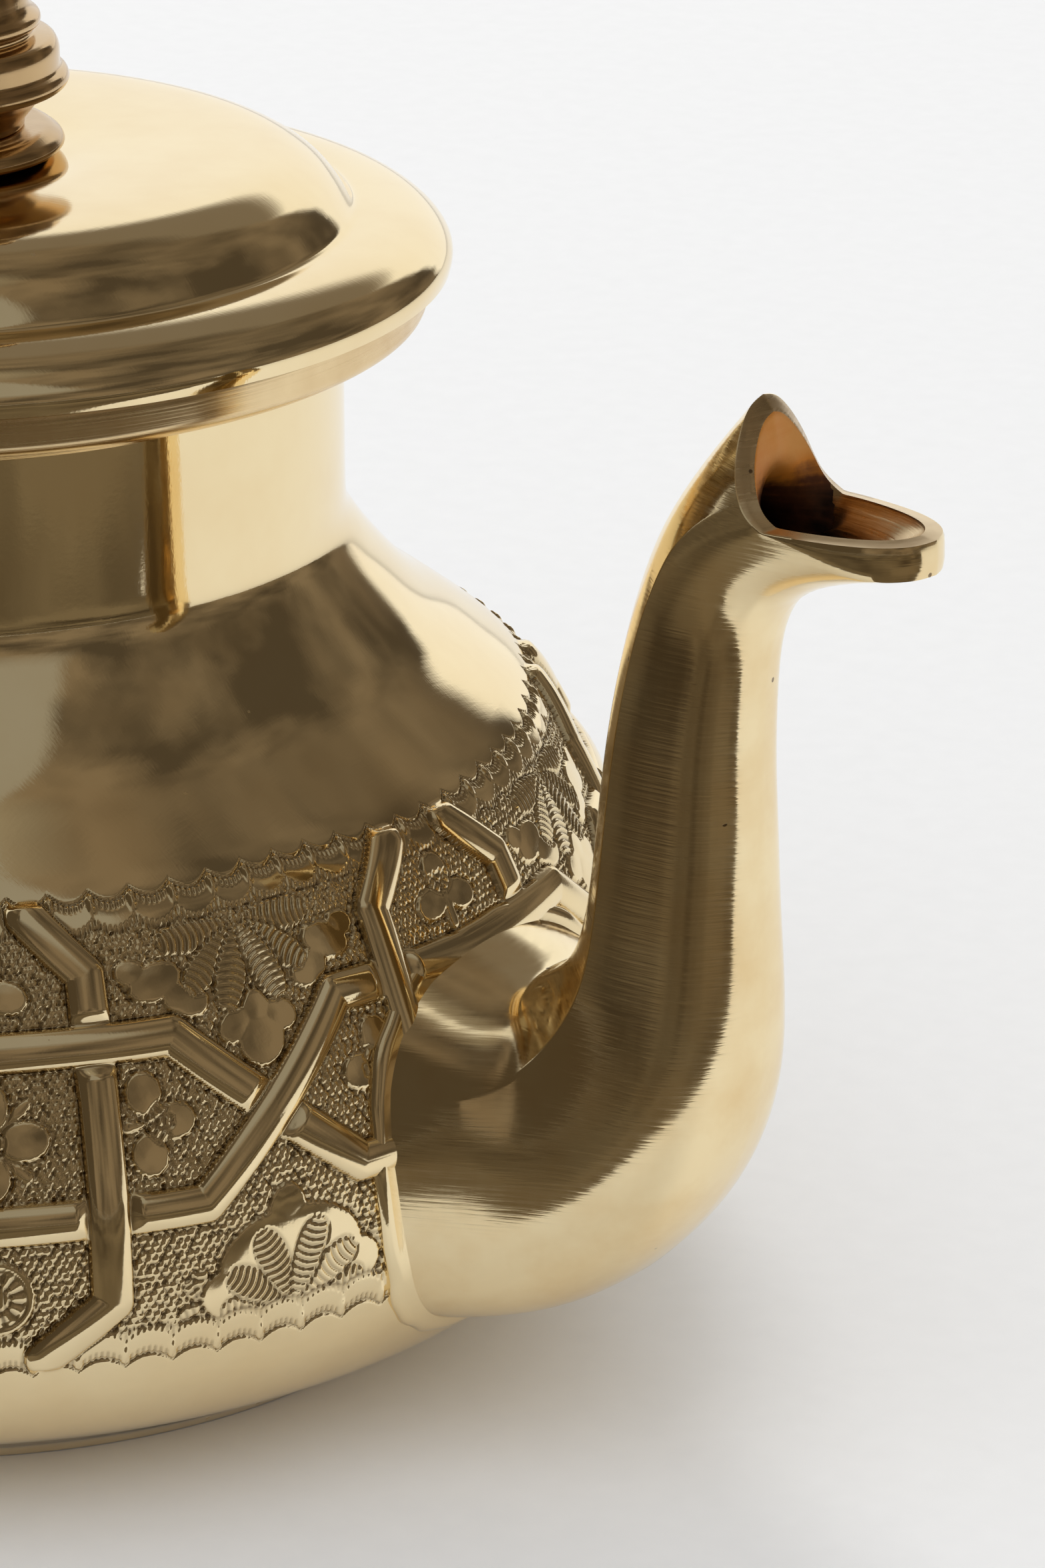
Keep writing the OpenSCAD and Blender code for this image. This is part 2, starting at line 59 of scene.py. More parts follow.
knob_height, ball_radius, stud_radius = 34.0, 6.6, 2.0
upper_drop, lower_height, upper_length, lower_length = 15.5, 30.0, 11.2, 9.2
socket_radius, foot_radius, insulator_thickness = 6.0, 8.0, 4.0
handle_offset, handle_half_width, handle_half_thickness = 39.5, 5.2, 3.6
upper_height, handle_reach = seat_height - upper_drop, belly_radius + handle_offset
handle_stud_radius = 2.0
sink = 0.3
collar_top = seat_height - lid_gap
neck_top = collar_top - 0.4


# ---------- curves ----------
def spline(points, steps, knots=None):
    """Natural cubic spline through points (n, ...), steps samples in each span."""
    p = np.asarray(points, float)
    n = len(p)
    shape = p.shape[1:]
    p = p.reshape(n, -1)
    if knots is None:
        gap = np.linalg.norm(np.diff(p, axis=0), axis=1) ** 0.5
        knots = np.concatenate([[0], np.cumsum(np.maximum(gap, 1e-6))])
    t = np.asarray(knots, float)
    h = np.diff(t)
    a = np.zeros((n, n))
    b = np.zeros((n, p.shape[1]))
    a[0, 0] = a[-1, -1] = 1
    for i in range(1, n - 1):
        a[i, i - 1:i + 2] = h[i - 1], 2 * (h[i - 1] + h[i]), h[i]
        b[i] = 6 * ((p[i + 1] - p[i]) / h[i] - (p[i] - p[i - 1]) / h[i - 1])
    m = np.linalg.solve(a, b)
    out = []
    for i in range(n - 1):
        s = (np.arange(steps) / steps)[:, None]
        x = s * h[i]
        out.append(p[i] + x * ((p[i + 1] - p[i]) / h[i] - h[i] * (2 * m[i] + m[i + 1]) / 6)
                   + x ** 2 * m[i] / 2 + x ** 3 * (m[i + 1] - m[i]) / (6 * h[i]))
    out.append(p[-1:])
    return np.concatenate(out).reshape((-1,) + shape)


def run(line):
    """Distance along a line at each of its points."""
    return np.concatenate([[0], np.cumsum(np.linalg.norm(np.diff(line, axis=0), axis=1))])


def offset(line, d):
    """Line moved by d to its left."""
    line = np.asarray(line, float)
    t = np.gradient(line, axis=0)
    t /= np.linalg.norm(t, axis=1)[:, None]
    return line + d * np.stack([-t[:, 1], t[:, 0]], 1)


def soften(line, r, steps=4, closed=True):
    """Outline with each corner replaced by a small arc of about radius r."""
    p = np.asarray(line, float)
    n = len(p)
    out = []
    for i in range(n):
        if not closed and i in (0, n - 1):
            out.append(p[i])
            continue
        a, b, c = p[i - 1], p[i], p[(i + 1) % n]
        la, lc = np.linalg.norm(a - b), np.linalg.norm(c - b)
        k = min(r, 0.45 * la, 0.45 * lc)
        p0, p1 = b + (a - b) / la * k, b + (c - b) / lc * k
        for j in range(steps + 1):
            s = j / steps
            out.append((1 - s) ** 2 * p0 + 2 * s * (1 - s) * b + s * s * p1)
    return np.array(out)


def smoothstep(lo, hi, x):
    t = np.clip((x - lo) / (hi - lo), 0, 1)
    return t * t * (3 - 2 * t)


# ---------- meshes ----------
def make(name, verts, faces, mats, body, replaces=(), face_mat=None,
         angle=35, normals=None, attributes=None):
    """A piece from points in mm, attached to its riding body, with the CAD nodes it replaces hidden."""
    mesh = bpy.data.meshes.new(name)
    mesh.from_pydata((np.asarray(verts, float) * MM).tolist(), [], faces)
    mesh.update()
    for mat in mats:
        mesh.materials.append(mat)
    if face_mat is not None:
        mesh.polygons.foreach_set("material_index", np.asarray(face_mat, np.int32))
    for key, values in (attributes or {}).items():
        layer = mesh.attributes.new(key, "FLOAT", "POINT")
        layer.data.foreach_set("value", np.asarray(values, np.float32))
    mesh.shade_smooth()
    if normals is not None:
        mesh.normals_split_custom_set_from_vertices(np.asarray(normals, float).tolist())
    elif angle:
        mesh.set_sharp_from_angle(angle=angle * DEG)
    piece = bpy.data.objects.new(name, mesh)
    bpy.context.scene.collection.objects.link(piece)
    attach(piece, body)
    if replaces:
        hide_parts(*replaces)


def ring_faces(rings, around, closed=True, start=0):
    """Quads between rings of points that go round; closed joins the last ring to the first."""
    out = []
    for k in range(rings if closed else rings - 1):
        for i in range(around):
            j = (i + 1) % around
            a, b = start + k * around, start + ((k + 1) % rings) * around
            out.append((a + i, a + j, b + j, b + i))
    return out


def revolve(name, line, mat, body, replaces=(), around=192, angle=35, axis="z", centre=(0, 0, 0)):
    """Solid turned from a closed (r, z) outline, counter-clockwise; points on the axis become poles."""
    verts, index = [], []
    for r, z in line:
        index.append(len(verts))
        if r < 1e-6:
            verts.append((0, 0, z))
        else:
            for i in range(around):
                t = 2 * math.pi * i / around
                verts.append((r * math.cos(t), r * math.sin(t), z))
    faces = []
    n = len(line)
    for k in range(n):
        m = (k + 1) % n
        pole_k, pole_m = line[k][0] < 1e-6, line[m][0] < 1e-6
        if pole_k and pole_m:
            continue
        for i in range(around):
            j = (i + 1) % around
            if pole_k:
                faces.append((index[k], index[m] + j, index[m] + i))
            elif pole_m:
                faces.append((index[k] + i, index[k] + j, index[m]))
            else:
                faces.append((index[k] + i, index[k] + j, index[m] + j, index[m] + i))
    v = np.array(verts)
    if axis == "x":
        v = np.stack([-v[:, 2], v[:, 1], v[:, 0]], 1)
    v = v + np.array(centre)
    make(name, v, faces, [mat], body, replaces, angle=angle)


# ---------- materials ----------
class Nodes:
    """Short way to write a material's node tree."""

    def __init__(self, name):
        self.mat = bpy.data.materials.new(name)
        self.mat.use_nodes = True
        self.tree = self.mat.node_tree
        self.bsdf = self.tree.nodes["Principled BSDF"]

    def add(self, kind, inputs=None, **settings):
        node = self.tree.nodes.new(kind)
        for key, value in settings.items():
            setattr(node, key, value)
        for key, value in (inputs or {}).items():
            if isinstance(value, bpy.types.NodeSocket):
                self.tree.links.new(value, node.inputs[key])
            else:
                node.inputs[key].default_value = value
        return node

    def math(self, operation, a, b=0.0):
        return self.add("ShaderNodeMath", {0: a, 1: b}, operation=operation).outputs[0]

    def times(self, a, b):
        return self.math("MULTIPLY", a, b)

    def plus(self, a, b):
        return self.math("ADD", a, b)

    def ramp(self, fac, stops):
        node = self.add("ShaderNodeValToRGB", {"Fac": fac})
        band = node.color_ramp
        while len(band.elements) < len(stops):
            band.elements.new(0.5)
        for e, (pos, colour) in zip(band.elements, stops):
            e.position = pos
            e.color = (*colour, 1) if isinstance(colour, tuple) else (colour, colour, colour, 1)
        return node.outputs["Color"]

    def noise(self, vector, scale, detail=3.0, rough=0.5):
        return self.add("ShaderNodeTexNoise", {"Vector": vector, "Scale": scale, "Detail": detail,
                                               "Roughness": rough}).outputs["Fac"]

    def mapped(self, vector, scale, rotation=(0, 0, 0)):
        return self.add("ShaderNodeMapping", {"Vector": vector, "Scale": scale,
            "Rotation": rotation}).outputs[0]

    def mix(self, fac, a, b):
        node = self.add("ShaderNodeMix", data_type="RGBA")
        for i, value in ((0, fac), (6, a), (7, b)):
            if isinstance(value, bpy.types.NodeSocket):
                self.tree.links.new(value, node.inputs[i])
            else:
                node.inputs[i].default_value = value if i == 0 else (*value, 1)
        return node.outputs[2]

    def bump(self, height, distance, strength=1.0, normal=None):
        inputs = {"Height": height, "Distance": distance, "Strength": strength}
        if normal is not None:
            inputs["Normal"] = normal
        return self.add("ShaderNodeBump", inputs).outputs[0]

    def to(self, **links):
        for key, value in links.items():
            socket = self.bsdf.inputs[key.replace("_", " ")]
            if isinstance(value, bpy.types.NodeSocket):
                self.tree.links.new(value, socket)
            else:
                socket.default_value = value

    def coords(self):
        return self.add("ShaderNodeTexCoord").outputs["Object"]


BRASS = (0.93, 0.77, 0.475)
WARM = (0.80, 0.58, 0.29)


def polished(name, base=BRASS, worn=WARM, rough=(0.045, 0.11), wave=0.02, scratch=0.004, dark=False):
    """Mirror brass: faint waves from spinning, hairline scratches, smudges and a few dust specks."""
    n = Nodes(name)
    p = n.coords()
    smudge = n.noise(p, 55, 4, 0.6)
    waves = n.noise(p, 38, 1.5)
    hair = n.times(n.noise(n.mapped(p, (1, 26, 9), (0.3, 0.5, 0.9)), 190, 3),
                  n.noise(n.mapped(p, (20, 1, 14), (0.9, 0.2, 0.4)), 170, 3))
    speck = n.add("ShaderNodeTexVoronoi", {"Vector": p, "Scale": 260.0}).outputs["Distance"]
    speck = n.math("LESS_THAN", speck, 0.055)
    speck = n.times(speck, n.math("GREATER_THAN", n.noise(p, 90, 1), 0.56))
    colour = n.mix(n.ramp(smudge, [(0.40, 0.0), (0.85, 0.55)]), base, worn)
    r = n.plus(n.times(n.ramp(smudge, [(0.42, 0.0), (0.75, 1.0)]), rough[1] - rough[0]), rough[0])
    r = n.plus(r, n.times(speck, 0.3))
    if dark:
        # dark=True: the tarnish and painted shade attribute darkens and roughens the brass
        tarnish_and_painted_shade = n.add("ShaderNodeAttribute", attribute_name="tarnish_and_painted_shade").outputs["Fac"]
        colour = n.mix(n.times(tarnish_and_painted_shade, 0.92), colour, (0.11, 0.062, 0.026))
        r = n.plus(r, n.times(tarnish_and_painted_shade, 0.22))
    normal = n.bump(waves, wave * MM * 4, 1.0)
    normal = n.bump(hair, scratch * MM, 1.0, normal)
    n.to(Base_Color=colour, Metallic=1.0, Roughness=r, Normal=normal)
    return n.mat


def brushed(name, base, worn, around=True, rough=0.2, depth=0.02, scale=(5000, 60), tilt=0.0):
    """Filed or lathe-brushed brass: lines round the axis, or across the spout's shaft."""
    n = Nodes(name)
    p = n.coords()
    if around:
        x = n.add("ShaderNodeSeparateXYZ", {0: p})
        radius = n.math("SQRT", n.plus(n.times(x.outputs[0], x.outputs[0]),
                                       n.times(x.outputs[1], x.outputs[1])))
        turn = n.math("ARCTAN2", x.outputs[1], x.outputs[0])
        v = n.add("ShaderNodeCombineXYZ", {0: n.times(radius, scale[0]), 1: n.times(turn, 1.4),
                                           2: n.times(x.outputs[2], scale[0])}).outputs[0]
        lines = n.noise(v, 1.0, 2)
        coarse = n.noise(n.mapped(v, (0.15, 0.5, 0.15)), 1.0, 2)
    else:
        v = n.mapped(p, (scale[1], scale[1], scale[0]), (0.35 + tilt, 0.12, 0))
        w = n.mapped(p, (scale[0] * 0.5, scale[1], scale[1] * 2), (0.1, 0.3, 0.5))
        lines = n.plus(n.times(n.noise(v, 1.0, 2), 0.8), n.times(n.noise(w, 1.0, 2), 0.2))
        coarse = n.noise(n.mapped(p, (30, 30, 260), (0.45, 0.1, 0)), 1.0, 3)
    smudge = n.noise(p, 120, 4, 0.6)
    colour = n.mix(n.ramp(smudge, [(0.38, 0.0), (0.8, 0.8)]), base, worn)
    r = n.plus(n.times(n.ramp(lines, [(0.3, 0.0), (0.7, 1.0)]), 0.12), rough - 0.06)
    pit = n.add("ShaderNodeTexVoronoi", {"Vector": p, "Scale": 420.0}).outputs["Distance"]
    pit = n.times(n.math("LESS_THAN", pit, 0.09), n.math("GREATER_THAN", n.noise(p, 130, 2), 0.60))
    colour = n.mix(n.times(pit, 0.8), colour, (0.10, 0.055, 0.03))
    height = n.plus(lines, n.times(coarse, 0.8))
    height = n.math("SUBTRACT", height, n.times(pit, 3.0))
    n.to(Base_Color=colour, Metallic=1.0, Roughness=r, Normal=n.bump(height, depth * MM, 1.0))
    return n.mat


def tarnish_and_depth_shade(name):
    """Inside of the cast spout: flamed orange and nearly black, with casting grain, and painted shade that
    darkens it further down from the mouth.
    """
    n = Nodes(name)
    p = n.coords()
    cloud = n.noise(p, 150, 5, 0.6)
    streak = n.noise(n.mapped(p, (60, 60, 900), (0, 0.6, 0)), 1.0, 3)
    both = n.plus(n.times(cloud, 0.65), n.times(streak, 0.35))
    # painted shade: the inside is lighter near the mouth and darker further down
    painted_depth_shade = n.add("ShaderNodeMapRange", {"Value": n.add("ShaderNodeSeparateXYZ", {0: p}).outputs[2],
                                        "From Min": 0.0835, "From Max": 0.0885}).outputs[0]
    both = n.plus(n.times(both, 0.75), n.times(painted_depth_shade, 0.26))
    colour = n.ramp(both, [(0.35, (0.012, 0.007, 0.005)), (0.47, (0.11, 0.034, 0.010)),
                           (0.57, (0.60, 0.21, 0.022)), (0.72, (0.66, 0.30, 0.07))])
    r = n.plus(n.times(cloud, 0.4), 0.28)
    n.to(Base_Color=colour, Metallic=0.55, Roughness=r, Normal=n.bump(cloud, 0.08 * MM, 1.0))
    return n.mat


def steel_like(name, colour, metallic=1.0, rough=0.3, grain=900):
    """Plain machined or moulded surface with fine grain and faint blots."""
    n = Nodes(name)
    p = n.coords()
    g = n.noise(p, grain, 4, 0.6)
    blot = n.noise(p, 140, 3)
    c = n.mix(n.ramp(blot, [(0.35, 0.0), (0.75, 0.7)]), colour, tuple(0.6 * k for k in colour))
    r = n.plus(n.times(g, 0.25), rough - 0.1)
    n.to(Base_Color=c, Metallic=metallic, Roughness=r, Normal=n.bump(g, 0.03 * MM, 1.0))
    return n.mat


polished_brass = polished("polished_brass")
embossed_brass = polished("embossed_brass", rough=(0.06, 0.13), wave=0.012, dark=True)
brushed_brass = brushed("brushed_brass", (0.86, 0.67, 0.39), (0.62, 0.42, 0.20), around=True, rough=0.24,
    depth=0.025)
cast_brass = brushed("cast_brass", BRASS, WARM, around=False, rough=0.12, depth=0.011, scale=(4200, 170))
filed_brass = brushed("filed_brass", (0.84, 0.66, 0.40), (0.50, 0.33, 0.17), around=False, rough=0.3,
                      depth=0.05, scale=(3200, 160), tilt=0.5)
aged_brass = polished("aged_brass", base=(0.62, 0.43, 0.22), worn=(0.34, 0.21, 0.10), rough=(0.13, 0.3),
    wave=0.02,
                      scratch=0.01)
inner_brass = brushed("inner_brass", (0.62, 0.50, 0.32), (0.36, 0.26, 0.15), around=True, rough=0.36,
    depth=0.03,
                      scale=(1800, 60))
spout_inside = tarnish_and_depth_shade("spout_inside")
steel = steel_like("steel", (0.62, 0.60, 0.56), rough=0.28)
black_fibre = steel_like("black_fibre", (0.018, 0.016, 0.015), metallic=0.0, rough=0.5, grain=1500)

# ---------- body profile ----------
low_shape = [(0, 0), (0.095, 0.14), (0.2, 0.36), (0.367, 0.69), (0.62, 0.924), (0.85, 0.995)]
high_shape = [(0, 1), (0.157, 0.968), (0.298, 0.895), (0.438, 0.794), (0.547, 0.704), (0.645, 0.596),
              (0.728, 0.426), (0.804, 0.26), (0.906, 0.108), (0.981, 0.022), (1, 0)]


def catmull(points, k):
    p = np.asarray(points, float)
    q = np.concatenate([p[:1], p, p[-1:]])
    out = []
    for i in range(1, len(q) - 2):
        a, b, c, d = q[i - 1], q[i], q[i + 1], q[i + 2]
        for t in np.arange(k) / k:
            out.append(0.5 * (2 * b + (c - a) * t + (2 * a - 5 * b + 4 * c - d) * t * t
                              + (3 * b - a - 3 * c + d) * t ** 3))
    return np.array(out + [p[-1]])


def ironed(line, step, sigma):
    """Line resampled every step mm and smoothed, with its end points kept."""
    d = run(line)
    s = np.linspace(0, d[-1], int(d[-1] / step) + 2)
    p = np.stack([np.interp(s, d, line[:, c]) for c in (0, 1)], 1)
    m = int(3 * sigma / step)
    w = np.exp(-0.5 * (np.arange(-m, m + 1) * step / sigma) ** 2)
    w /= w.sum()
    q = np.concatenate([2 * p[0] - p[m:0:-1], p, 2 * p[-1] - p[-2:-m - 2:-1]])
    return np.stack([np.convolve(q[:, c], w, "valid") for c in (0, 1)], 1)


body_points = ([(base_radius + (belly_radius - base_radius) * r, belly_height * z) for z, r in low_shape]
               + [(neck_radius + (belly_radius - neck_radius) * r,
                   belly_height + (shoulder_height - belly_height) * z) for z, r in high_shape])
body_line = np.concatenate([catmull(body_points, 16), [[neck_radius, neck_top]]])
body_line = ironed(body_line, 0.1, 1.1)
body_line[0] = base_radius, 0
prof_r, prof_z = body_line[:, 0], body_line[:, 1]
prof_s = run(body_line)
slope_r, slope_z = np.gradient(prof_r, prof_s), np.gradient(prof_z, prof_s)


def body_r(z):
    return np.interp(z, prof_z, prof_r)


def body_s(z):
    return np.interp(z, prof_z, prof_s)


def boxy(f, low, high):
    """Cosine and sine of f pushed out towards a rounded box; powers for the bottom and the top."""
    c, s = np.cos(f), np.sin(f)
    power = high + (low - high) * smoothstep(-0.3, 0.3, c)
    return np.sign(c) * np.abs(c) ** power, np.sign(s) * np.abs(s) ** power


def root_ring(a, b, up, f):
    """Ring on the belly round the spout's root, up mm off the surface."""
    c, s = boxy(f, 0.66, 0.9)
    y = b * s
    z = root_height - a * c
    r = body_r(z) + up
    return np.stack([np.sqrt(r * r - y * y), y, z], -1)


# ---------- embossed band ----------
BAND_LOW, BAND_HIGH = 14.4, 53.4
UNITS = 8
UNIT_TURN = 360 / UNITS
UNIT_START = -2.5
COLUMNS = 70
ROW = 0.58
across_n, up_n, coarse = 400, 240, 10


def hashed(i, j, k):
    v = np.sin(i * 127.1 + j * 311.7 + k * 74.7) * 43758.5453
    return v - np.floor(v)


def blob(px, ps, cx, cs, ra, rb, turn=0.0):
    """Signed measure in mm, positive inside an ellipse."""
    c, s = math.cos(turn * DEG), math.sin(turn * DEG)
    x, y = (px - cx) * c + (ps - cs) * s, -(px - cx) * s + (ps - cs) * c
    return (1 - np.sqrt((x / ra) ** 2 + (y / rb) ** 2)) * min(ra, rb)


def lobes(px, ps, reach, ra, rb, turns):
    """Ellipses set round a point, each at one of turns."""
    return np.maximum.reduce([blob(px, ps, reach * math.cos(t * DEG), reach * math.sin(t * DEG), ra, rb, t)
                              for t in turns])


def petal(px, ps, turn, length, width, start=0.4):
    """Measure inside a petal that points along turn, and its cross ribs 0..1."""
    c, s = math.cos(turn * DEG), math.sin(turn * DEG)
    along, side = px * c + ps * s, -px * s + ps * c
    t = np.clip((along - start) / (length - start), 0, 1)
    half = width * np.sqrt(np.maximum(t, 0)) * np.sqrt(np.maximum(1 - t ** 3.2, 0))
    inside = np.where((along > start) & (along < length), half - np.abs(side), -1.0)
    rib = 0.5 + 0.5 * np.cos(2 * math.pi * (along - 0.16 * side ** 2 * 1.4) / 0.62)
    return inside, rib


def band_height(azimuth, z):
    """Relief over the plain belly in mm, and tarnish with painted shade 0..1 at azimuth (deg) and height z
    (mm): darker in the bead gaps, grooves and rib valleys, with a painted shadow along the strap edges.
    """
    mu = body_r(z) * DEG
    slope = np.gradient(prof_s, prof_z)
    ms = np.interp(z, prof_z, slope)
    wob = azimuth * DEG
    z_in = z + 0.16 * np.sin(7 * wob + 1) + 0.12 * np.sin(13 * wob + 2.1)
    a_in = azimuth + 0.16 * np.sin(9 * wob + 0.4 + z * 0.05) + 0.12 * np.sin(17 * wob + z * 0.11)
    arc = body_s(z_in)
    u = (a_in - UNIT_START + UNIT_TURN / 2) % UNIT_TURN - UNIT_TURN / 2

    def local(u0, z0, side=0):
        du = u - u0
        if side:
            du = (du + UNIT_TURN / 2) % UNIT_TURN - UNIT_TURN / 2
        return du * mu, arc - body_s(z0)

    def strap(points):
        best = np.full(u.shape, 99.0)
        for (u0, z0), (u1, z1) in zip(points, points[1:]):
            px, pz = (u - u0) * mu, (z_in - z0) * ms
            dx, dz = (u1 - u0) * mu, (z1 - z0) * ms
            t = np.clip((px * dx + pz * dz) / (dx * dx + dz * dz), 0, 1)
            best = np.minimum(best, np.hypot(px - t * dx, pz - t * dz))
        return best

    # ground of punched beads
    col_f = (azimuth % 360) / (UNIT_TURN / COLUMNS)
    row_f = body_s(z) / ROW
    row0, bead = np.floor(row_f), np.full(u.shape, 99.0)
    for dr in (-1, 0, 1):
        row = row0 + dr
        shift = 0.5 * (row % 2)
        col0 = np.floor(col_f - shift)
        for dc in (-1, 0, 1):
            col = col0 + dc
            key = col % (COLUMNS * UNITS)
            cx = col + 0.5 + shift + 0.30 * (hashed(key, row, 1) - 0.5)
            cy = row + 0.5 + 0.30 * (hashed(key, row, 2) - 0.5)
            size = 0.9 + 0.25 * hashed(key, row, 3)
            d = np.hypot((col_f - cx) * UNIT_TURN / COLUMNS * mu, (row_f - cy) * ROW) / size
            bead = np.minimum(bead, d)
    dome = np.sqrt(np.maximum(1 - (bead / 0.345) ** 2.5, 0))
    height = -0.25 + 0.24 * dome
    # tarnish with painted shade in the gaps between the beads, darkest where each dome falls away
    tarnish_and_painted_shade = 0.88 * (1 - dome) ** 1.5

    def lay(inside, top, edge=0.12, rib=None, rib_depth=0.17, soil=0.0, groove=0.12):
        """Smooth raised patch with a chased groove round it; tarnish with painted shade darkens the groove
        and the rib valleys.
        """
        nonlocal height, tarnish_and_painted_shade
        m = smoothstep(-edge, edge, inside)
        rim = np.exp(-((inside + 0.16) / 0.13) ** 2)
        level = top * np.ones_like(u) if rib is None else top - rib_depth * (1 - rib)
        level = level + 0.03 * smoothstep(0.0, 1.2, inside)
        height = height * (1 - m) + level * m - groove * rim
        # painted shade in the rib valleys, added to the patch's soil level
        soil_and_rib_shade = soil if rib is None else soil + 0.55 * (1 - rib) ** 1.5
        tarnish_and_painted_shade = np.clip(tarnish_and_painted_shade * (1 - m) + soil_and_rib_shade * m + 0.35 * rim, 0, 1)

    def fan(turns, lengths, width, start=0.4, top=0.12, rib_depth=0.17):
        """Ribbed petals from the point set last by local()."""
        for turn, length in zip(turns, lengths):
            inside, rib = petal(px, ps, turn, length, width, start)
            lay(inside, top, rib=rib, rib_depth=rib_depth)

    def halo(rows):
        return np.maximum.reduce([blob(px, ps, *row) for row in rows])

    # four-petal flower in the middle of each unit
    px, ps = local(0, 35.2)
    for turn in (45, 135, 225, 315):
        lay(petal(px, ps, turn, 4.6, 0.70, 1.0)[0], 0.03)
    lay(lobes(px, ps, 2.8, 1.9, 1.6, (0, 90, 180, 270)), 0.07)
    r = np.hypot(px, ps)
    lay(1.05 - r, 0.02, rib=0.5 + 0.5 * np.cos(2 * math.pi * r / 0.5))
    # three-lobed leaves either side, pointing outwards
    for s in (-1, 1):
        px, ps = local(s * 11.9, 35.5)
        px = px * s
        inside = petal(px, ps, 180, 3.4, 0.75, 0.0)[0]
        lay(np.maximum(inside, lobes(px, ps, 2.5, 1.75, 1.5, (0, 86, -86))), 0.07)
        fan((0, 40, -40), (2.4, 2.4, 2.4), 0.5, 0.2, 0.10)
        # leaf buds low down
        px, ps = local(s * 15.2, 20.4)
        fan((60, 120, 90, -20, 200), (2.6, 2.6, 3.2, 2.2, 2.2), 0.8, 0.0, 0.03, 0.08)
    # leaf at the top of the unit
    px, ps = local(0, 46.2)
    inside = petal(px, ps, 270, 3.4, 0.7, 0.0)[0]
    lay(np.maximum(inside, lobes(px, ps, 1.8, 1.75, 1.3, (90, 200, 340))), 0.06)
    fan((90, 130, 50), (2.0, 2.0, 2.0), 0.45, 0.1, 0.08)
    # ribbed rosette low down in the middle
    px, ps = local(0, 22.9)
    r = np.hypot(px, ps)
    lay(3.1 - r, 0.05)
    turn = np.arctan2(ps, px)
    lay(2.35 - r, 0.03, rib=0.5 + 0.5 * np.cos(turn * 12), rib_depth=0.12)
    lay(0.95 - r, 0.06, rib=0.5 + 0.5 * np.cos(2 * math.pi * px / 0.42), rib_depth=0.1)
    # palmettes where two units meet: smooth halo, ribbed petals
    px, ps = local(UNIT_TURN / 2, 48.6, 1)
    lay(halo((
        (-7.8, -3.4, 2.3, 1.5, 20), (-5.6, -5.2, 1.9, 1.4, -20), (-9.6, -2.4, 1.3, 1.1, 0),
            (7.8, -3.4, 2.3, 1.5, -20),
        (5.6, -5.2, 1.9, 1.4, 20), (9.6, -2.4, 1.3, 1.1, 0), (0, -9.6, 2.0, 2.2, 0),
            (-1.9, -8.1, 1.6, 1.3, 30),
        (1.9, -8.1, 1.6, 1.3, -30), (0, -7.2, 1.2, 1.6, 0))), 0.08)
    fan((184, 356, 221, 319, 250, 290), (6.9, 6.9, 7.0, 7.0, 7.3, 7.3), 1.8)
    px, ps = local(UNIT_TURN / 2, 18.9, 1)
    lay(halo((
        (0, 3.6, 6.4, 4.6, 0), (-5.4, 1.9, 2.6, 2.2, 0), (5.4, 1.9, 2.6, 2.2, 0), (0, 8.0, 1.6, 2.0, 0))),
            0.02)
    fan((176, 4, 148, 32, 112, 68), (6.6, 6.6, 6.8, 6.8, 7.1, 7.1), 1.75)

    # borders: scalloped cut, ticks, smooth crescents and wedges
    for z_edge, count, way in ((52.2, 96, 1), (15.8, 104, -1)):
        t = (a_in * count / 360) % 1
        middle = 1 - (2 * t - 1) ** 2
        depth = (body_s(z_edge) - arc) * way - 0.95 * middle
        lay(np.minimum(depth, 3.0 - depth - 0.5 * middle), 0.0, edge=0.15, groove=0.0)
        outside = smoothstep(0.10, -0.10, depth)
        height = height * (1 - outside)
        tarnish_and_painted_shade = tarnish_and_painted_shade * (1 - outside)
        line = np.exp(-(depth / 0.13) ** 2)
        teeth = 0.5 + 0.5 * np.cos(2 * math.pi * t * 8)
        ticks = teeth * smoothstep(0.0, 0.12, depth) * smoothstep(0.85, 0.55, depth)
        second = teeth * smoothstep(2.2, 2.35, depth) * smoothstep(3.0, 2.8, depth)
        wedge_w = 360 / count * mu * np.minimum(t, 1 - t)
        wedge = np.exp(-(wedge_w / (0.42 - 0.10 * np.clip(depth + 0.9, 0, 3))) ** 2) \
            * smoothstep(-0.12, 0.2, depth) * smoothstep(2.1, 1.2, depth)
        height = height - 0.20 * line - 0.13 * ticks - 0.10 * second + 0.22 * wedge
        # tarnish with painted shade in the cut line and the ticks, less of it on the raised wedges
        tarnish_and_painted_shade = np.clip(tarnish_and_painted_shade + 0.55 * line + 0.45 * ticks + 0.35 * second - 0.3 * wedge, 0, 1)

    # interlaced straps
    half, top = 1.66, 0.86
    upright = [(4.0, 51.0), (8.5, 46.8), (8.5, 21.8), (3.4, 17.4)]
    ds = {"right": strap(upright), "left": strap([(-a, b) for a, b in upright]),
          "one": strap([(-29, 28.8), (-15, 41.7), (15, 41.7), (29, 28.8)]),
          "two": strap([(-30, 41.7), (-16, 28.8), (16, 28.8), (30, 41.7)])}

    def near(u0, z0, reach=5.5):
        return smoothstep(reach, reach - 1.5, np.hypot((u - u0) * mu, (z_in - z0) * ms))

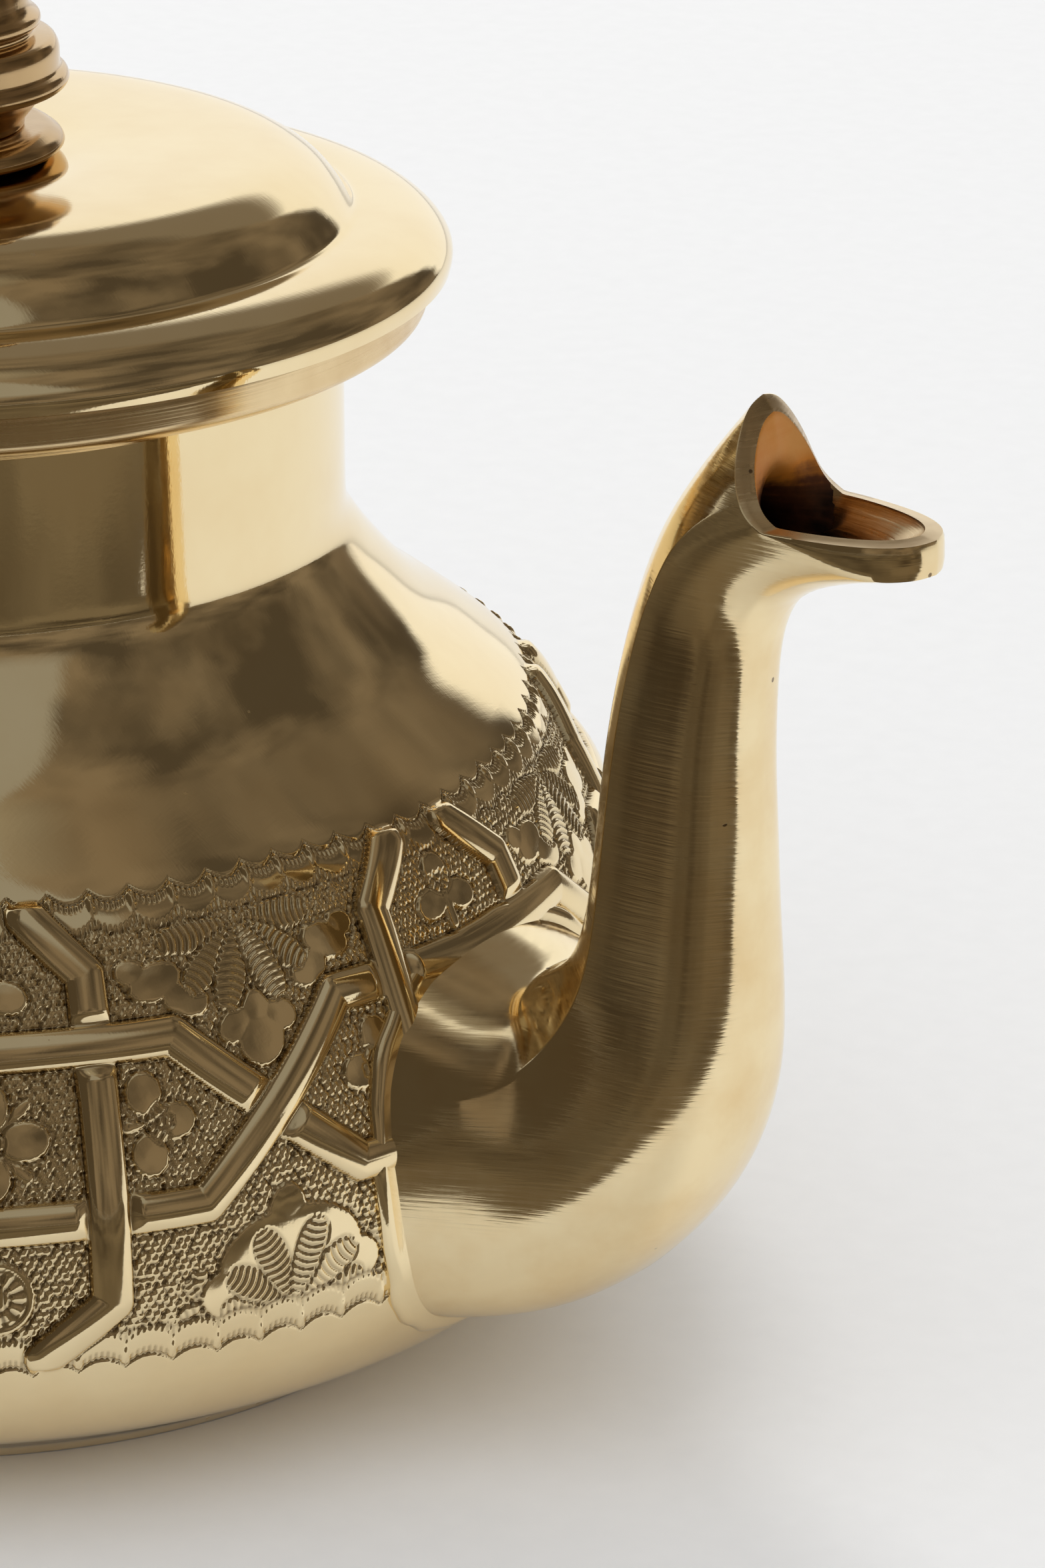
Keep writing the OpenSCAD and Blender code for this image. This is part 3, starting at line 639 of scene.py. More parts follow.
    under = {"right": [("one", 8.5, 41.7)], "left": [("two", -8.5, 28.8)],
             "one": [("left", -8.5, 41.7), ("two", 22.5, 35.2)],
                 "two": [("right", 8.5, 28.8), ("one", -22.5, 35.2)]}
    wave = 0.04 * np.sin(azimuth * 0.27 + z * 0.11) + 0.03 * np.sin(azimuth * 0.16 - z * 0.31)
    strap_h = np.full(u.shape, -9.0)
    strap_edge_shadow = np.zeros(u.shape)
    for key, d in ds.items():
        cover = np.zeros(u.shape)
        for other, cu, cz in under[key]:
            cover = np.maximum(cover, near(cu, cz) * smoothstep(half + 1.1, half - 0.3, ds[other]))
        body = np.sqrt(np.maximum(1 - (d / half) ** 2, 0))
        flat = 0.12 + 0.88 * body ** 1.15
        h = np.where(d < half, (top + wave) * flat * (1 - 0.8 * cover), -9.0)
        strap_h = np.maximum(strap_h, h)
        # painted shadow in a band along the strap's edge, left off where this strap passes under another
        rim = np.exp(-((d - half - 0.05) / 0.22) ** 2) * (1 - cover)
        strap_edge_shadow = np.maximum(strap_edge_shadow, rim)
    clear = smoothstep(0, 0.9, np.minimum((body_s(52.0) - arc), (arc - body_s(16.0))))
    strap_edge_shadow = strap_edge_shadow * clear
    on = strap_h > height
    height = np.where(on, height + (strap_h - height) * clear, height - 0.10 * strap_edge_shadow * (1 - on))
    height = np.maximum(height, -0.34)
    # painted shadow darkens the ground beside the straps and a strap where another crosses over it
    tarnish_and_painted_shade = np.clip(np.where(on, 0.30 * strap_edge_shadow, tarnish_and_painted_shade + 0.5 * strap_edge_shadow), 0, 1)
    fade = smoothstep(BAND_LOW, BAND_LOW + 0.5, z) * smoothstep(BAND_HIGH, BAND_HIGH - 0.5, z)
    return height * fade, tarnish_and_painted_shade * fade


def band_panel(k):
    """One closed eighth of the embossed belly: fine outer face, plain inner face."""
    i = np.arange(-1, across_n + 2)
    s_low, s_high = body_s(BAND_LOW), body_s(BAND_HIGH)
    j = np.arange(-1, up_n + 2)
    azimuth = UNIT_START - UNIT_TURN / 2 + UNIT_TURN * (k + i / across_n)
    arc = s_low + (s_high - s_low) * j / up_n
    z = np.interp(arc, prof_s, prof_z)
    a, zz = np.meshgrid(azimuth, z)
    h, tarnish_and_painted_shade = band_height(a, zz)
    r = np.interp(arc, prof_s, prof_r)[:, None]
    nr, nz = np.interp(arc, prof_s, slope_z)[:, None], -np.interp(arc, prof_s, slope_r)[:, None]
    ca, sa = np.cos(a * DEG), np.sin(a * DEG)

    def surface(out):
        return np.stack([(r + out * nr) * ca, (r + out * nr) * sa, zz + out * nz], -1)

    p = surface(h)
    du = p[1:-1, 2:] - p[1:-1, :-2]
    dv = p[2:, 1:-1] - p[:-2, 1:-1]
    nrm = np.cross(du, dv)
    nrm /= np.linalg.norm(nrm, axis=-1, keepdims=True)
    outer = p[1:-1, 1:-1]
    w, v = across_n + 1, up_n + 1
    inner = surface(-wall)[1:-1, 1:-1][::coarse, ::coarse]
    cw, cv = across_n // coarse + 1, up_n // coarse + 1
    base = w * v
    idx = np.arange(w * v).reshape(v, w)
    q = np.stack([idx[:-1, :-1], idx[:-1, 1:], idx[1:, 1:], idx[1:, :-1]], -1).reshape(-1, 4).tolist()
    cid = base + np.arange(cw * cv).reshape(cv, cw)
    q += np.stack([cid[:-1, :-1], cid[1:, :-1], cid[1:, 1:], cid[:-1, 1:]], -1).reshape(-1, 4).tolist()
    for m in range(cw - 1):
        cols = range(m * coarse, (m + 1) * coarse + 1)
        q.append([int(idx[0, c]) for c in reversed(cols)] + [int(cid[0, m]), int(cid[0, m + 1])])
        q.append([int(idx[-1, c]) for c in cols] + [int(cid[-1, m + 1]), int(cid[-1, m])])
    for m in range(cv - 1):
        rows = range(m * coarse, (m + 1) * coarse + 1)
        q.append([int(idx[c, 0]) for c in rows] + [int(cid[m + 1, 0]), int(cid[m, 0])])
        q.append([int(idx[c, -1]) for c in reversed(rows)] + [int(cid[m, -1]), int(cid[m + 1, -1])])
    inner_n = np.stack([-nr * ca, -nr * sa, -nz + 0 * a], -1)[1:-1, 1:-1][::coarse, ::coarse]
    verts = np.concatenate([outer.reshape(-1, 3), inner.reshape(-1, 3)])
    normals = np.concatenate([nrm.reshape(-1, 3), inner_n.reshape(-1, 3)])
    # tarnish and painted shade for the outer face; the plain inner face is darkened evenly
    dark = np.concatenate([tarnish_and_painted_shade[1:-1, 1:-1].ravel(), np.full(cw * cv, 0.4)])
    make(f"belly_band_{k + 1}", verts, q, [embossed_brass], "pot", ("body_shell",),
         normals=normals, attributes={"tarnish_and_painted_shade": dark})


def profile_part(z0, z1, step=0.4):
    """Outer and inner (r, z) lines of the body wall from height z0 to z1."""
    s = np.linspace(body_s(z0), body_s(z1), int((body_s(z1) - body_s(z0)) / step) + 2)
    line = np.stack([np.interp(s, prof_s, prof_r), np.interp(s, prof_s, prof_z)], 1)
    inner = line + wall * np.stack([-np.interp(s, prof_s, slope_z), np.interp(s, prof_s, slope_r)], 1)
    return line, inner


line, inner = profile_part(0, BAND_LOW)
inner[:, 1] = np.maximum(inner[:, 1], 0)
revolve("belly_lower", np.concatenate([line, inner[::-1]]), polished_brass, "pot",
    ("body_shell",), 320)
line, inner = profile_part(BAND_HIGH, neck_top, 0.5)
revolve("neck_and_shoulder", np.concatenate([line, inner[::-1]]), polished_brass, "pot",
    ("body_shell",), 320)
for k in range(UNITS):
    band_panel(k)

# ---------- collar ----------
z1 = collar_top - collar_height
collar = [(neck_radius - 0.05, z1 - collar_slope), (neck_radius + 0.25 * collar_overhang, z1
    - 0.55 * collar_slope),
          (neck_radius + 0.8 * collar_overhang, z1 - 0.15 * collar_slope), (collar_radius - 0.3, z1 + 0.25),
              (collar_radius, z1 + 0.8),
          (collar_radius, collar_top - 0.6), (collar_radius - 0.15, collar_top - 0.2),
              (collar_radius - 0.6, collar_top),
          (neck_radius - 0.05, collar_top)]
revolve("neck_collar_brushed", soften(collar, 0.5), brushed_brass, "pot", ("neck_collar",),
    256, angle=50)

# ---------- lid ----------
crease_z = seat_height + flange_rise
dome_shape = [(0.0, 0.925), (0.33, 0.925), (0.42, 0.985), (0.56, 1.01), (0.72, 0.99), (0.83, 0.9),
    (0.908, 0.66), (0.957, 0.37), (1, 0)]
edge_shape = [(0.23, 0.985), (0.5, 0.92), (0.73, 0.8), (0.92, 0.56), (1.03, 0.27), (1.01, 0.08), (1, 0)]
knob_z = crease_z + dome_rise * 0.925
dome = catmull([(dome_radius * r, crease_z + dome_rise * z) for r, z in dome_shape[1:]], 12)
dome = ironed(np.concatenate([[[stud_radius, knob_z]], dome]), 0.12, 0.55)
edge = catmull([(dome_radius, crease_z)] + [(dome_radius + (lid_radius - dome_radius) * r, seat_height
    + flange_rise * z)
                                           for r, z in edge_shape], 10)
edge = ironed(edge, 0.12, 0.45)
top = ironed(np.concatenate([dome[:-1], edge]), 0.12, 0.34)
under = offset(top, -lid_wall)
under = under[(under[:, 0] < lid_radius - lid_wall) & (under[:, 1] > seat_height)]
lid_line = np.concatenate([top, [[lid_radius - 0.25, seat_height], [lid_radius - lid_wall, seat_height]],
    under[::-1][::4],
                           [[stud_radius, knob_z - lid_wall]]])
revolve("lid_polished", lid_line[::-1], polished_brass, "lid", ("lid_shell",), 320,
    angle=40)

# ---------- knob ----------
washer = [(stud_radius, knob_z), (washer_radius - 1.6, knob_z),
    (washer_radius - 0.5, knob_z + 0.17 * washer_thickness),
          (washer_radius, knob_z + 0.42 * washer_thickness),
              (washer_radius - 0.3, knob_z + 0.7 * washer_thickness),
          (washer_radius - 1.3, knob_z + washer_thickness), (stud_radius, knob_z + washer_thickness)]
revolve("knob_washer_turned", soften(washer, 1.1, 6), aged_brass, "lid", ("knob_washer",),
    160, angle=50)
stem, finial_z = knob_height, knob_z + washer_thickness
# steps up the knob: how far inside the disc's radius, and share of the height
knob_steps = [(2.4, 0.075), (0.3, 0.105), (0, 0.12), (0.2, 0.14), (0.8, 0.15), (0.8, 0.2), (1.2, 0.225),
              (3, 0.235), (3, 0.25), (2.3, 0.26), (2.3, 0.28), (3.2, 0.3), (3.5, 0.34), (4.6, 0.42),
              (4, 0.44), (4, 0.47), (5.6, 0.5), (7.9, 0.55), (8.3, 0.6)]
knob = [(0, 0), (waist_radius, 0), (waist_radius, 0.02 * stem)]
knob += [(disc_radius - inward, share * stem) for inward, share in knob_steps]
ball_z = stem - ball_radius - 2.2
knob += [(ball_radius * math.cos(t * DEG), ball_z + ball_radius * math.sin(t * DEG))
    for t in range(-60, 76, 15)]
knob += [(1.1, stem - 2.1), (1.3, stem - 1.2), (0.9, stem - 0.3), (0, stem)]
knob = soften(knob, 0.55, 4, closed=False)
revolve("knob_turned", [(r, z + finial_z) for r, z in knob], aged_brass, "lid", ("knob_finial",
    ), 160, angle=60)

# ---------- spout ----------
spout_path = [(0.26, 0.01, 14, 0.19, 0.25), (0.52, 0.045, 27, 0.39, 0.44), (0.73, 0.103, 45, 0.57, 0.6),
              (0.88, 0.183, 64, 0.71, 0.73), (0.945, 0.274, 80, 0.82, 0.83), (0.968, 0.382, 89, 0.9, 0.9),
              (0.98, 0.502, 91, 0.945, 0.955), (1, 0.622, 88, 1, 1), (1.05, 0.741, 83, 1.06, 1.04),
              (1.14, 0.846, 76, 1.1, 1.07), (1.28, 0.918, 68, 1.07, 1.045)]
mouth_out = [(0, 1, 0, 0), (30, 0.95, 0.46, 0), (55, 0.807, 0.8, 0), (78, 0.61, 0.97, 0),
    (98, 0.457, 1.02, 0),
             (115, 0.368, 0.97, 0.18), (132, 0.323, 0.85, 0.47), (152, 0.296, 0.56, 0.79),
                 (166, 0.287, 0.3, 0.94), (180, 0.287, 0, 1)]
mouth_in = [(0, 0.93, 0, 0.03), (30, 0.89, 0.32, 0.03), (55, 0.775, 0.58, 0.03), (78, 0.61, 0.74, 0.03),
    (98, 0.49, 0.78, 0.03),
            (115, 0.42, 0.75, 0.17), (132, 0.375, 0.64, 0.42), (152, 0.345, 0.4, 0.68),
                (166, 0.335, 0.2, 0.8), (180, 0.335, 0, 0.85)]
# shaft section: angle, share of the half depth outwards, share of the half width
section = [(0, 1, 0), (18, 0.955, 0.36), (36, 0.80, 0.68), (54, 0.53, 0.90), (76, 0.17, 0.97),
    (98, -0.2, 0.985), (117, -0.52, 0.965),
           (136, -0.80, 0.60), (153, -0.965, 0.30), (166, -0.995, 0.14), (180, -1, 0)]
CREASE = 117
angles = list(np.linspace(0, CREASE - 2.4, 44)) + [CREASE - 1.1, CREASE - 0.35, CREASE + 0.35, CREASE
    + 1.1] \
    + list(np.linspace(CREASE + 2.4, 180, 24))
angles = np.array(angles + [360 - a for a in reversed(angles[1:-1])])
side_n = len(angles)
fold = np.minimum(angles, 360 - angles)
sign = np.where(angles > 180, -1.0, 1.0)
f_rad = angles * DEG


def table(rows, col, x, corner=None):
    """Smooth reading of column col of rows against their first column, with one corner kept."""
    rows = np.array(rows, float)
    parts = [rows] if corner is None else [rows[rows[:, 0] <= corner], rows[rows[:, 0] >= corner]]
    out = np.zeros(len(x))
    for part in parts:
        dense = spline(part[:, [0, col]], 24, knots=part[:, 0])
        use = (x >= part[0, 0]) & (x <= part[-1, 0])
        out[use] = np.interp(x[use], dense[:, 0], dense[:, 1])
    return out


def mouth_ring(rows, drop=0.0):
    """Rim of the spout's mouth from rows, its lip side lowered by drop."""
    z = table(rows, 3, fold, 98)
    weight = smoothstep(100, 40, fold)
    return np.stack([shaft_distance + lip_reach * table(rows, 1, fold),
        sign * shaft_half_width * table(rows, 2, fold),
                     lip_height + lobe_height * z - drop * weight], -1)


root_x = float(body_r(root_height))
depth_share, width_share = table(section, 1, fold, CREASE), sign * table(section, 2, fold, CREASE)
d_weight = [0.85, 0.95, 1, 1, 1, 1, 1, 1, 1, 0.9, 0.6]
# the same section with a rounded back, as on the wide top of the root
round_back = section[:7] + [(136, -0.77, 0.75), (153, -0.93, 0.45), (166, -0.985, 0.23), (180, -1, 0)]
round_depth, round_width = table(round_back, 1, fold, CREASE), sign * table(round_back, 2, fold, CREASE)
back_weight = [1, 0.85, 0.55, 0.2] + [0] * 7
bend_fill = [0, 0.06, 0.14, 0.15, 0.07, 0.02] + [0] * 5


def spout_ring(i, w):
    """Section i of the spout: its outside, or its inside at wall w."""
    px, pz, ang, pa, pb = spout_path[i]
    k = d_weight[i] if w == 0 else 0.3
    cx, cz = root_x + (shaft_distance - root_x) * px, root_height + (lip_height - root_height) * pz
    a = root_half_height + (shaft_half_depth - root_half_height) * pa - w
    b = root_half_width + (shaft_half_width - root_half_width) * pb - w
    low, high = ((0.72, 0.92), (0.84, 0.96), (0.95, 1.0))[i] if i < 3 else (1.0, 1.0)
    c, s = boxy(f_rad, low, high)
    g = back_weight[i]
    across = (1 - k) * c + k * ((1 - g) * depth_share + g * round_depth)
    side = (1 - k) * s + k * ((1 - g) * width_share + g * round_width)
    if w == 0:
        across = np.where(across < 0, across * (1 + bend_fill[i]), across)
    return np.stack([cx + a * across * math.sin(ang * DEG), b * side, cz
        - a * across * math.cos(ang * DEG)], -1)


def loft(rings, steps):
    """Rings made denser by a smooth curve through each of their points."""
    rings = np.array(rings)
    gaps = np.linalg.norm(np.diff(rings, axis=0), axis=2).mean(axis=1)
    return spline(rings, steps, knots=np.concatenate([[0], np.cumsum(gaps)]))


outer = [root_ring(root_half_height, root_half_width, -sink, f_rad)] + [spout_ring(i, 0)
    for i in range(11)] \
    + [mouth_ring(mouth_out, 2.7)]
outer = loft(outer, 8)
rim_out, rim_in = mouth_ring(mouth_out), mouth_ring(mouth_in)
centre = rim_out.mean(axis=0)
lip_edge = [0.75 * outer[-1] + 0.25 * rim_out, 0.35 * outer[-1] + 0.65 * rim_out, 0.1 * outer[-1]
    + 0.9 * rim_out]
for ring, out in zip(lip_edge, (0.10, 0.08, 0.03)):
    way = ring - centre
    way[:, 2] = 0
    ring += out * way / np.linalg.norm(way, axis=1)[:, None] * smoothstep(100, 60, fold)[:, None]
rims = [rim_out + 0.06 * (rim_in - rim_out), 0.62 * rim_out + 0.38 * rim_in, 0.35 * rim_out + 0.65 * rim_in,
        0.08 * rim_out + 0.92 * rim_in]
rims[0][:, 2] += 0.05
throat = np.array([shaft_distance + 0.40 * lip_reach, 0.0, 0.0])
lobe_side = smoothstep(85, 125, fold)[:, None]
scoop = throat + (rim_in - throat) * (0.70 + 0.22 * lobe_side)
scoop[:, 2] = rim_in[:, 2] - 2.3 - 2.2 * lobe_side[:, 0]
inner = [rim_in + np.array([0, 0, -0.35]), scoop] + [spout_ring(i, spout_wall) for i in range(10, -1, -1)] \
    + [root_ring(root_half_height - spout_wall, root_half_width - spout_wall, -sink, f_rad)]
inner = loft(inner, 4)
rings = list(outer) + lip_edge + rims + list(inner)
n_out = len(outer) + len(lip_edge)
face_mat = []
mid_fold = 0.5 * (fold + np.roll(fold, -1))
for k in range(len(rings)):
    inside_k = k - n_out - len(rims) + 1
    lip = (mid_fold < 108 - 2.5 * inside_k) & (inside_k < 10) if inside_k >= 0 else None
    face_mat += [0] * side_n if k < n_out else [1] * side_n if inside_k < 0 else np.where(lip, 1, 2).tolist()
faces = ring_faces(len(rings), side_n)
make("spout_cast", np.concatenate(rings), [tuple(reversed(q)) for q in faces],
    [cast_brass, filed_brass, spout_inside], "pot",
     ("spout",), face_mat=face_mat, angle=48)

flange_n = 160
flange_f = np.linspace(0, 2 * math.pi, flange_n + 1)[:-1]
rough_edge = (1 + 0.10 * np.sin(flange_f * 5 + 1) + 0.07 * np.sin(flange_f * 11)
              + 0.05 * np.sin(flange_f * 23 + 2))
flange = []
for out, up in ((-0.8, -sink), (0.95, -sink), (1.18, 0.0), (1.22, 0.3), (1.05, 0.58), (0.7, 0.74),
        (0.3, 0.7), (-0.1, 0.62), (-0.8, 0.62)):
    o = out * rough_edge if out > 0.5 else out
    flange.append(root_ring(root_half_height + o, root_half_width + o, up, flange_f))
faces = [tuple(reversed(q)) for q in ring_faces(len(flange), flange_n)]
make("spout_flange_soldered", np.concatenate(flange), faces, [polished_brass], "pot",
    ("spout_flange",), angle=60)

# ---------- handle, sockets and insulators ----------
upper_x = -(neck_radius + upper_length)
lower_x = -(float(body_r(lower_height)) + lower_length)
hx0, hx1 = upper_x - insulator_thickness, lower_x - insulator_thickness
handle_path = [(0, 1, 0), (0.1, 1.0, 0.1), (0.25, 1.06, 0.6), (0.42, 1.16, 1), (0.6, 1.215, 1),
    (0.78, 1.15, 1), (0.92, 0.985, 1),
               (0.995, 0.74, 1), (1, 0.47, 1)]
handle_low = [(0.87, 0.235, 1), (0.62, 0.07, 1), (0.4, 0.015, 0.7), (0.15, 0, 0.1), (0, 0, 0)]
path = [(h - (handle_reach + h) * x, lower_height + (upper_height - lower_height) * z, share)
        for h, rows in ((hx0, handle_path), (hx1, handle_low)) for x, z, share in rows]
path = catmull(path, 10)
sides = 48
turn = np.linspace(0, 2 * math.pi, sides + 1)[:-1]
tang = np.gradient(path[:, :2], axis=0)
tang /= np.linalg.norm(tang, axis=1)[:, None]
tang[0], tang[-1] = (-1, 0), (1, 0)
dist = run(path[:, :2])
rings = []
for (x, z, s), (tx, tz), d in zip(path, tang, dist):
    from_end = min(d, dist[-1] - d)
    bead = 0.0
    for at, wide, high in ((6.2, 1.0, 0.9), (8.6, 0.6, 0.45)):
        bead += high * math.exp(-((from_end - at) / wide) ** 2)
    groove = 0.35 * math.exp(-((from_end - 4.6) / 0.35) ** 2) + 0.3 * math.exp(-((from_end
        - 10.2) / 0.4) ** 2)
    grow = bead - groove
    a = socket_radius - 0.4 + (handle_half_thickness - socket_radius + 0.4) * s + grow
    b = socket_radius - 0.4 + (handle_half_width - socket_radius + 0.4) * s + grow
    ca, sa = np.cos(turn), np.sin(turn)
    ca, sa = np.sign(ca) * np.abs(ca) ** 0.9, np.sign(sa) * np.abs(sa) ** 0.9
    rings.append(np.stack([x - a * ca * tz, b * sa, z + a * ca * tx], -1))
faces = ring_faces(len(rings), sides, closed=False)
faces += [tuple(range(sides - 1, -1, -1)), tuple((len(rings) - 1) * sides + i for i in range(sides))]
make("handle_cast", np.concatenate(rings), faces, [polished_brass], "pot", ("handle",),
    angle=45)


def saddle(name, x_face, z0, node):
    """Turned socket whose foot is fitted to the body's curve."""
    around = 96
    t = np.linspace(0, 2 * math.pi, around + 1)[:-1]
    y, dz = np.cos(t), np.sin(t)

    def surf(rho):
        r = body_r(z0 + rho * dz)
        return -np.sqrt(r * r - (rho * y) ** 2)
    far = surf(foot_radius).min()
    x1 = min(far, surf(0).min()) - 1.9
    rings = []
    for rho, lift in ((foot_radius - 2, -0.1), (foot_radius, -0.1), (foot_radius + 0.05, 0.5),
            (foot_radius - 0.15, 0.9), (foot_radius - 0.6, 1.15)):
        rings.append(np.stack([surf(rho) - lift, rho * y, z0 + rho * dz], -1))
    length = abs(x_face - x1)
    # turned steps: how far outside the socket's radius, and share of its length
    for more, share in ((0.5, 0), (-0.1, 0.08), (-0.8, 0.28), (-1.1, 0.45), (-0.8, 0.60), (0, 0.66),
        (0.15, 0.72),
                        (0, 0.78), (-0.5, 0.81), (-0.5, 0.86), (-0.1, 0.90), (0, 0.93), (0, 0.985),
                            (-0.15, 1),
                        (handle_stud_radius - socket_radius, 1)):
        rho = socket_radius + more
        x = x1 - length * share
        rings.append(np.stack([np.full(around, x), rho * y, z0 + rho * dz], -1))
    rings.append(np.stack([surf(handle_stud_radius), handle_stud_radius * y, z0 + handle_stud_radius * dz],
        -1))
    faces = [tuple(reversed(q)) for q in ring_faces(len(rings), around)]
    make(name, np.concatenate(rings), faces, [cast_brass], "pot", (node,), angle=40)


saddle("upper_socket_turned", upper_x, upper_height, "upper_socket")
saddle("lower_socket_turned", lower_x, lower_height, "lower_socket")
for name, x, z in (("upper_insulator", upper_x, upper_height), ("lower_insulator", lower_x, lower_height)):
    r = socket_radius + 0.4
    t = insulator_thickness
    ring = [(handle_stud_radius, 0), (r - 0.1, 0), (r, 0.3 * t), (r - 0.25, 0.42 * t), (r - 0.25, 0.58 * t),
        (r, 0.7 * t), (r - 0.1, t),
            (handle_stud_radius, t)]
    revolve(name + "_turned", soften(ring, 0.35), black_fibre, "pot", (name,), 96, angle=50,
        axis="x", centre=(x, 0, z))


# ---------- small CAD pieces ----------
def softened(node, mat, width, body):
    """Copy of a small CAD solid with its edges broken, so they catch light."""
    piece = nodes[node].copy()
    piece.data = nodes[node].data.copy()
    piece.name = node + "_finished"
    piece.parent = None
    bpy.context.scene.collection.objects.link(piece)
    mesh = piece.data
    bm = bmesh.new()
    bm.from_mesh(mesh)
    bmesh.ops.remove_doubles(bm, verts=bm.verts, dist=1e-6)
    bmesh.ops.dissolve_limit(bm, angle_limit=1 * DEG, verts=bm.verts, edges=bm.edges)
    sharp = [e for e in bm.edges if len(e.link_faces) == 2 and e.calc_face_angle(0) > 35 * DEG]
    bmesh.ops.bevel(bm, geom=sharp, offset=width * MM, segments=2, profile=0.6, affect="EDGES",
        clamp_overlap=True)
    bm.to_mesh(mesh)
    bm.free()
    mesh.materials.clear()
    mesh.materials.append(mat)
    mesh.shade_smooth()
    mesh.set_sharp_from_angle(angle=40 * DEG)
    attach(piece, body)
    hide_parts(node)


softened("hinge_bracket", cast_brass, 0.35, "pot")
softened("hinge_leaf", cast_brass, 0.3, "lid")
for node, mat in (("base_plate", inner_brass), ("strainer_plate", inner_brass), ("lid_skirt", inner_brass),
    ("hinge_pin", steel),
                  ("hinge_rivets", steel), ("knob_stud", steel), ("knob_flat_washer", steel),
                      ("knob_nut", steel),
                  ("handle_studs", steel)):
    mesh = nodes[node].data
    if mesh.materials:
        for i in range(len(mesh.materials)):
            mesh.materials[i] = mat
    else:
        mesh.materials.append(mat)

# ---------- floor, world and light ----------
bpy.ops.mesh.primitive_plane_add(size=12.0, location=(0, 0, -0.00005))
floor = bpy.context.object
floor.name = "floor"
n = Nodes("floor_paper")
grain = n.noise(n.coords(), 300, 3)
n.to(Base_Color=n.mix(grain, (0.88, 0.88, 0.88), (0.92, 0.92, 0.92)), Roughness=0.85)
n.bsdf.inputs["Specular IOR Level"].default_value = 0.1
floor.data.materials.append(n.mat)


world = bpy.data.worlds.new("studio")
bpy.context.scene.world = world
world.use_nodes = True
tree = world.node_tree
w = Nodes.__new__(Nodes)
w.tree = tree
background = tree.nodes["Background"]
direction = w.add("ShaderNodeTexCoord").outputs["Generated"]
xyz = w.add("ShaderNodeSeparateXYZ", {0: direction})
az = w.times(w.math("ARCTAN2", xyz.outputs[1], xyz.outputs[0]), 1 / DEG)
el = w.times(w.math("ARCSINE", xyz.outputs[2]), 1 / DEG)
wobble = w.times(w.math("SUBTRACT", w.noise(direction, 3.0, 3), 0.5), 14.0)
az = w.plus(az, wobble)


def between(x, lo, hi, soft):
    a = w.add("ShaderNodeMapRange", {"Value": x, "From Min": lo - soft, "From Max": lo + soft}).outputs[0]
    b = w.add("ShaderNodeMapRange", {"Value": x, "From Min": hi - soft, "From Max": hi + soft,
        "To Min": 1.0, "To Max": 0.0}).outputs[0]
    return w.times(a, b)


dim = w.mix(w.ramp(w.noise(direction, 2.6, 4), [(0.38, 0.0), (0.62, 1.0)]), (0.075, 0.060, 0.043),
    (0.215, 0.172, 0.125))
sky = w.mix(between(el, 80, 200, 4), dim, (0.30, 0.27, 0.22))
# patches of sky: azimuth from, to and softness, elevation from, to and softness, colour
for a0, a1, a_soft, e0, e1, e_soft, patch in (
        (-60, -14, 3, 38, 95, 5, (0.30, 0.29, 0.27)),
        (-150, -70, 2, -90, 60, 4, (0.075, 0.058, 0.038)),
        (92, 400, 1.2, -90, 30, 3, (1.0, 1.0, 0.99)),
        (92, 400, 2, 30, 50, 3, (0.20, 0.17, 0.135))):
    sky = w.mix(w.times(between(az, a0, a1, a_soft), between(el, e0, e1, e_soft)), sky, patch)
sky = w.mix(between(az, -400, -150, 6), sky, (0.8, 0.8, 0.79))
path_node = w.add("ShaderNodeLightPath")
sky = w.mix(path_node.outputs["Is Diffuse Ray"], sky, (0.72, 0.72, 0.72))
sky = w.mix(path_node.outputs["Is Camera Ray"], sky, (0.90, 0.90, 0.90))
tree.links.new(sky, background.inputs["Color"])
background.inputs["Strength"].default_value = 1.0


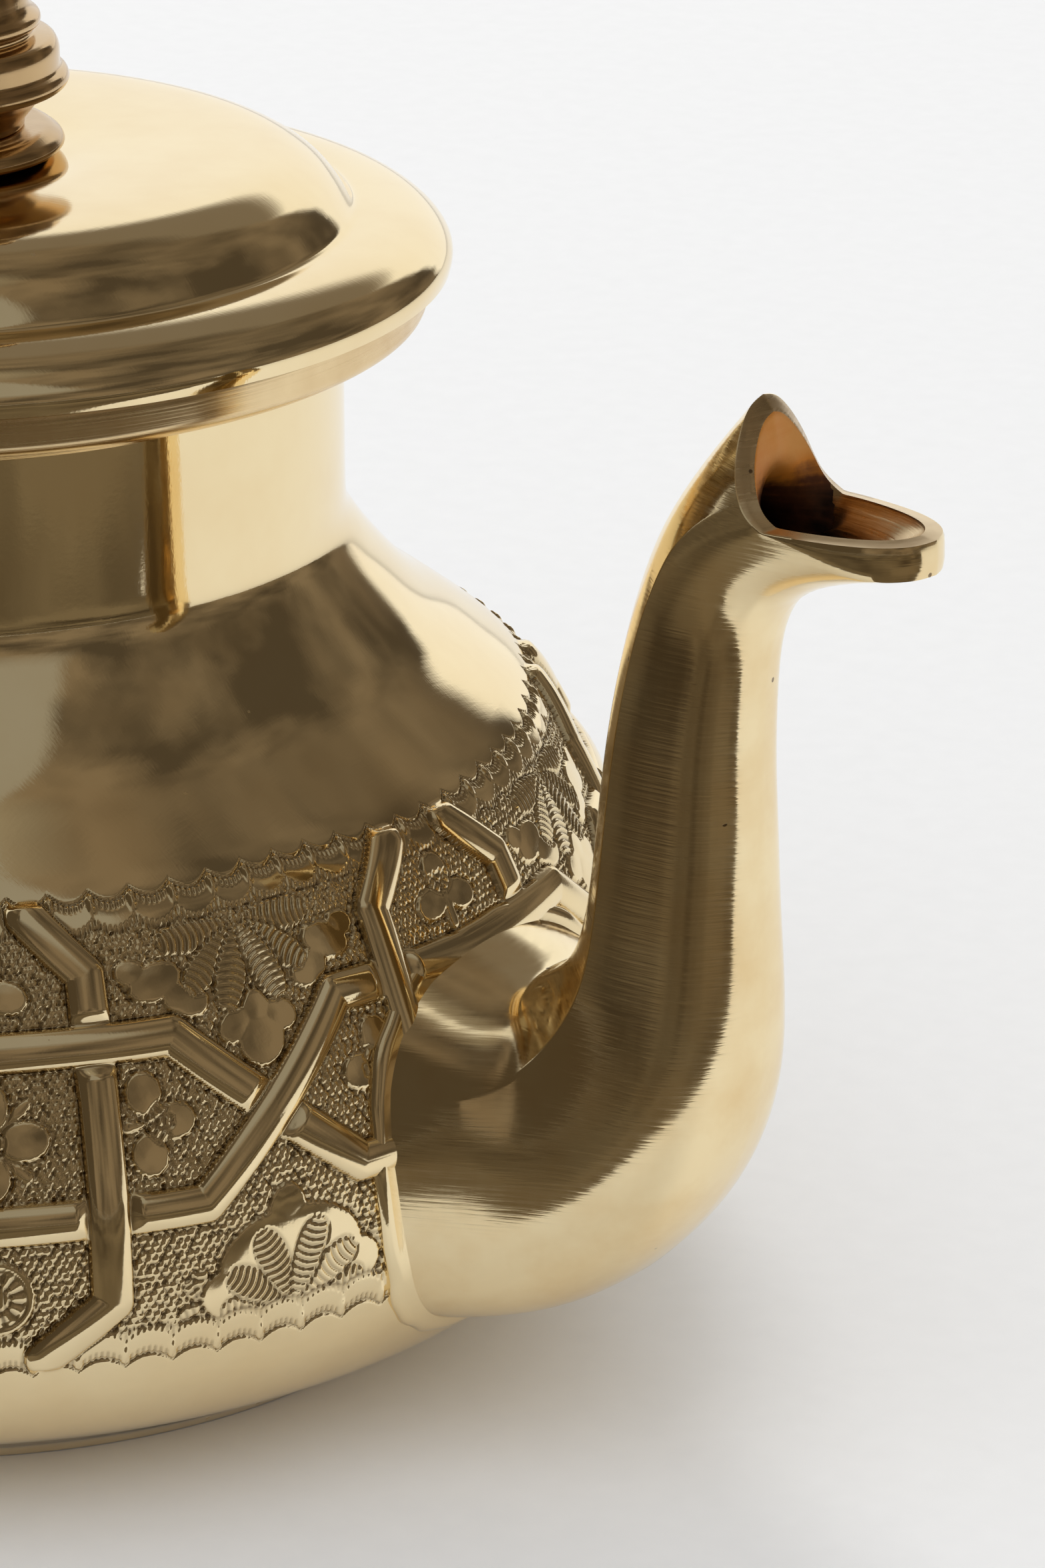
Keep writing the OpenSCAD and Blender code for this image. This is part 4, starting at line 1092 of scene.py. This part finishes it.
def area(name, where, target, size, power):
    data = bpy.data.lights.new(name, "AREA")
    data.shape = "DISK"
    data.size = size
    data.energy = power
    lamp = bpy.data.objects.new(name, data)
    bpy.context.scene.collection.objects.link(lamp)
    lamp.location = where
    lamp.rotation_euler = (Vector(target) - Vector(where)).to_track_quat("-Z", "Y").to_euler()
    lamp.visible_glossy = False


area("key", (-1.1, 0.9, 1.6), (0, 0, 0.03), 0.9, 10.0)
area("fill", (0.4, -0.9, 1.9), (0, 0, 0.03), 2.4, 8.0)

# dark table beyond the paper, seen only in the pot's reflections
table_edge = [(float(np.interp(a, (-62, -40, -20, 0, 12), (0.080, 0.115, 0.135, 0.20, 0.32))), a)
    for a in range(-205, 13, 3)]
corners = [(r * math.cos(a * DEG), r * math.sin(a * DEG), 0.001) for r, a in table_edge]
corners += [(5 * math.cos(a * DEG), 5 * math.sin(a * DEG), 0.001) for r, a in table_edge]
m = len(table_edge)
mesh = bpy.data.meshes.new("dark_table")
mesh.from_pydata(corners, [], [(i, i + m, i + m + 1, i + 1) for i in range(m - 1)])
piece = bpy.data.objects.new("dark_table", mesh)
bpy.context.scene.collection.objects.link(piece)
glow = Nodes("dark_table")
cloud = glow.ramp(glow.noise(glow.coords(), 5.0, 4), [(0.40, 0.0), (0.64, 1.0)])
glow.to(Base_Color=(0, 0, 0, 1), Roughness=1.0, Emission_Strength=1.0,
        Emission_Color=glow.mix(cloud, (0.038, 0.027, 0.015), (0.165, 0.132, 0.088)))
mesh.materials.append(glow.mat)
piece.visible_camera = piece.visible_diffuse = piece.visible_shadow = False

# ---------- camera: where the photo was taken from, in metres ----------
camera_place, camera_way, camera_lens = (0.3194, -0.3740, 0.2353), (-0.5291, 0.7653, -0.3667), 137.76
camera_data = bpy.data.cameras.new("camera")
camera_data.sensor_width = 36
camera_data.lens = camera_lens
camera_data.clip_start = 0.01
camera = bpy.data.objects.new("camera", camera_data)
bpy.context.scene.collection.objects.link(camera)
camera.location = camera_place
camera.rotation_euler = Vector(camera_way).to_track_quat("-Z", "Y").to_euler()
bpy.context.scene.camera = camera
bpy.context.scene.view_settings.view_transform = "Standard"
bpy.context.scene.view_settings.look = "None"
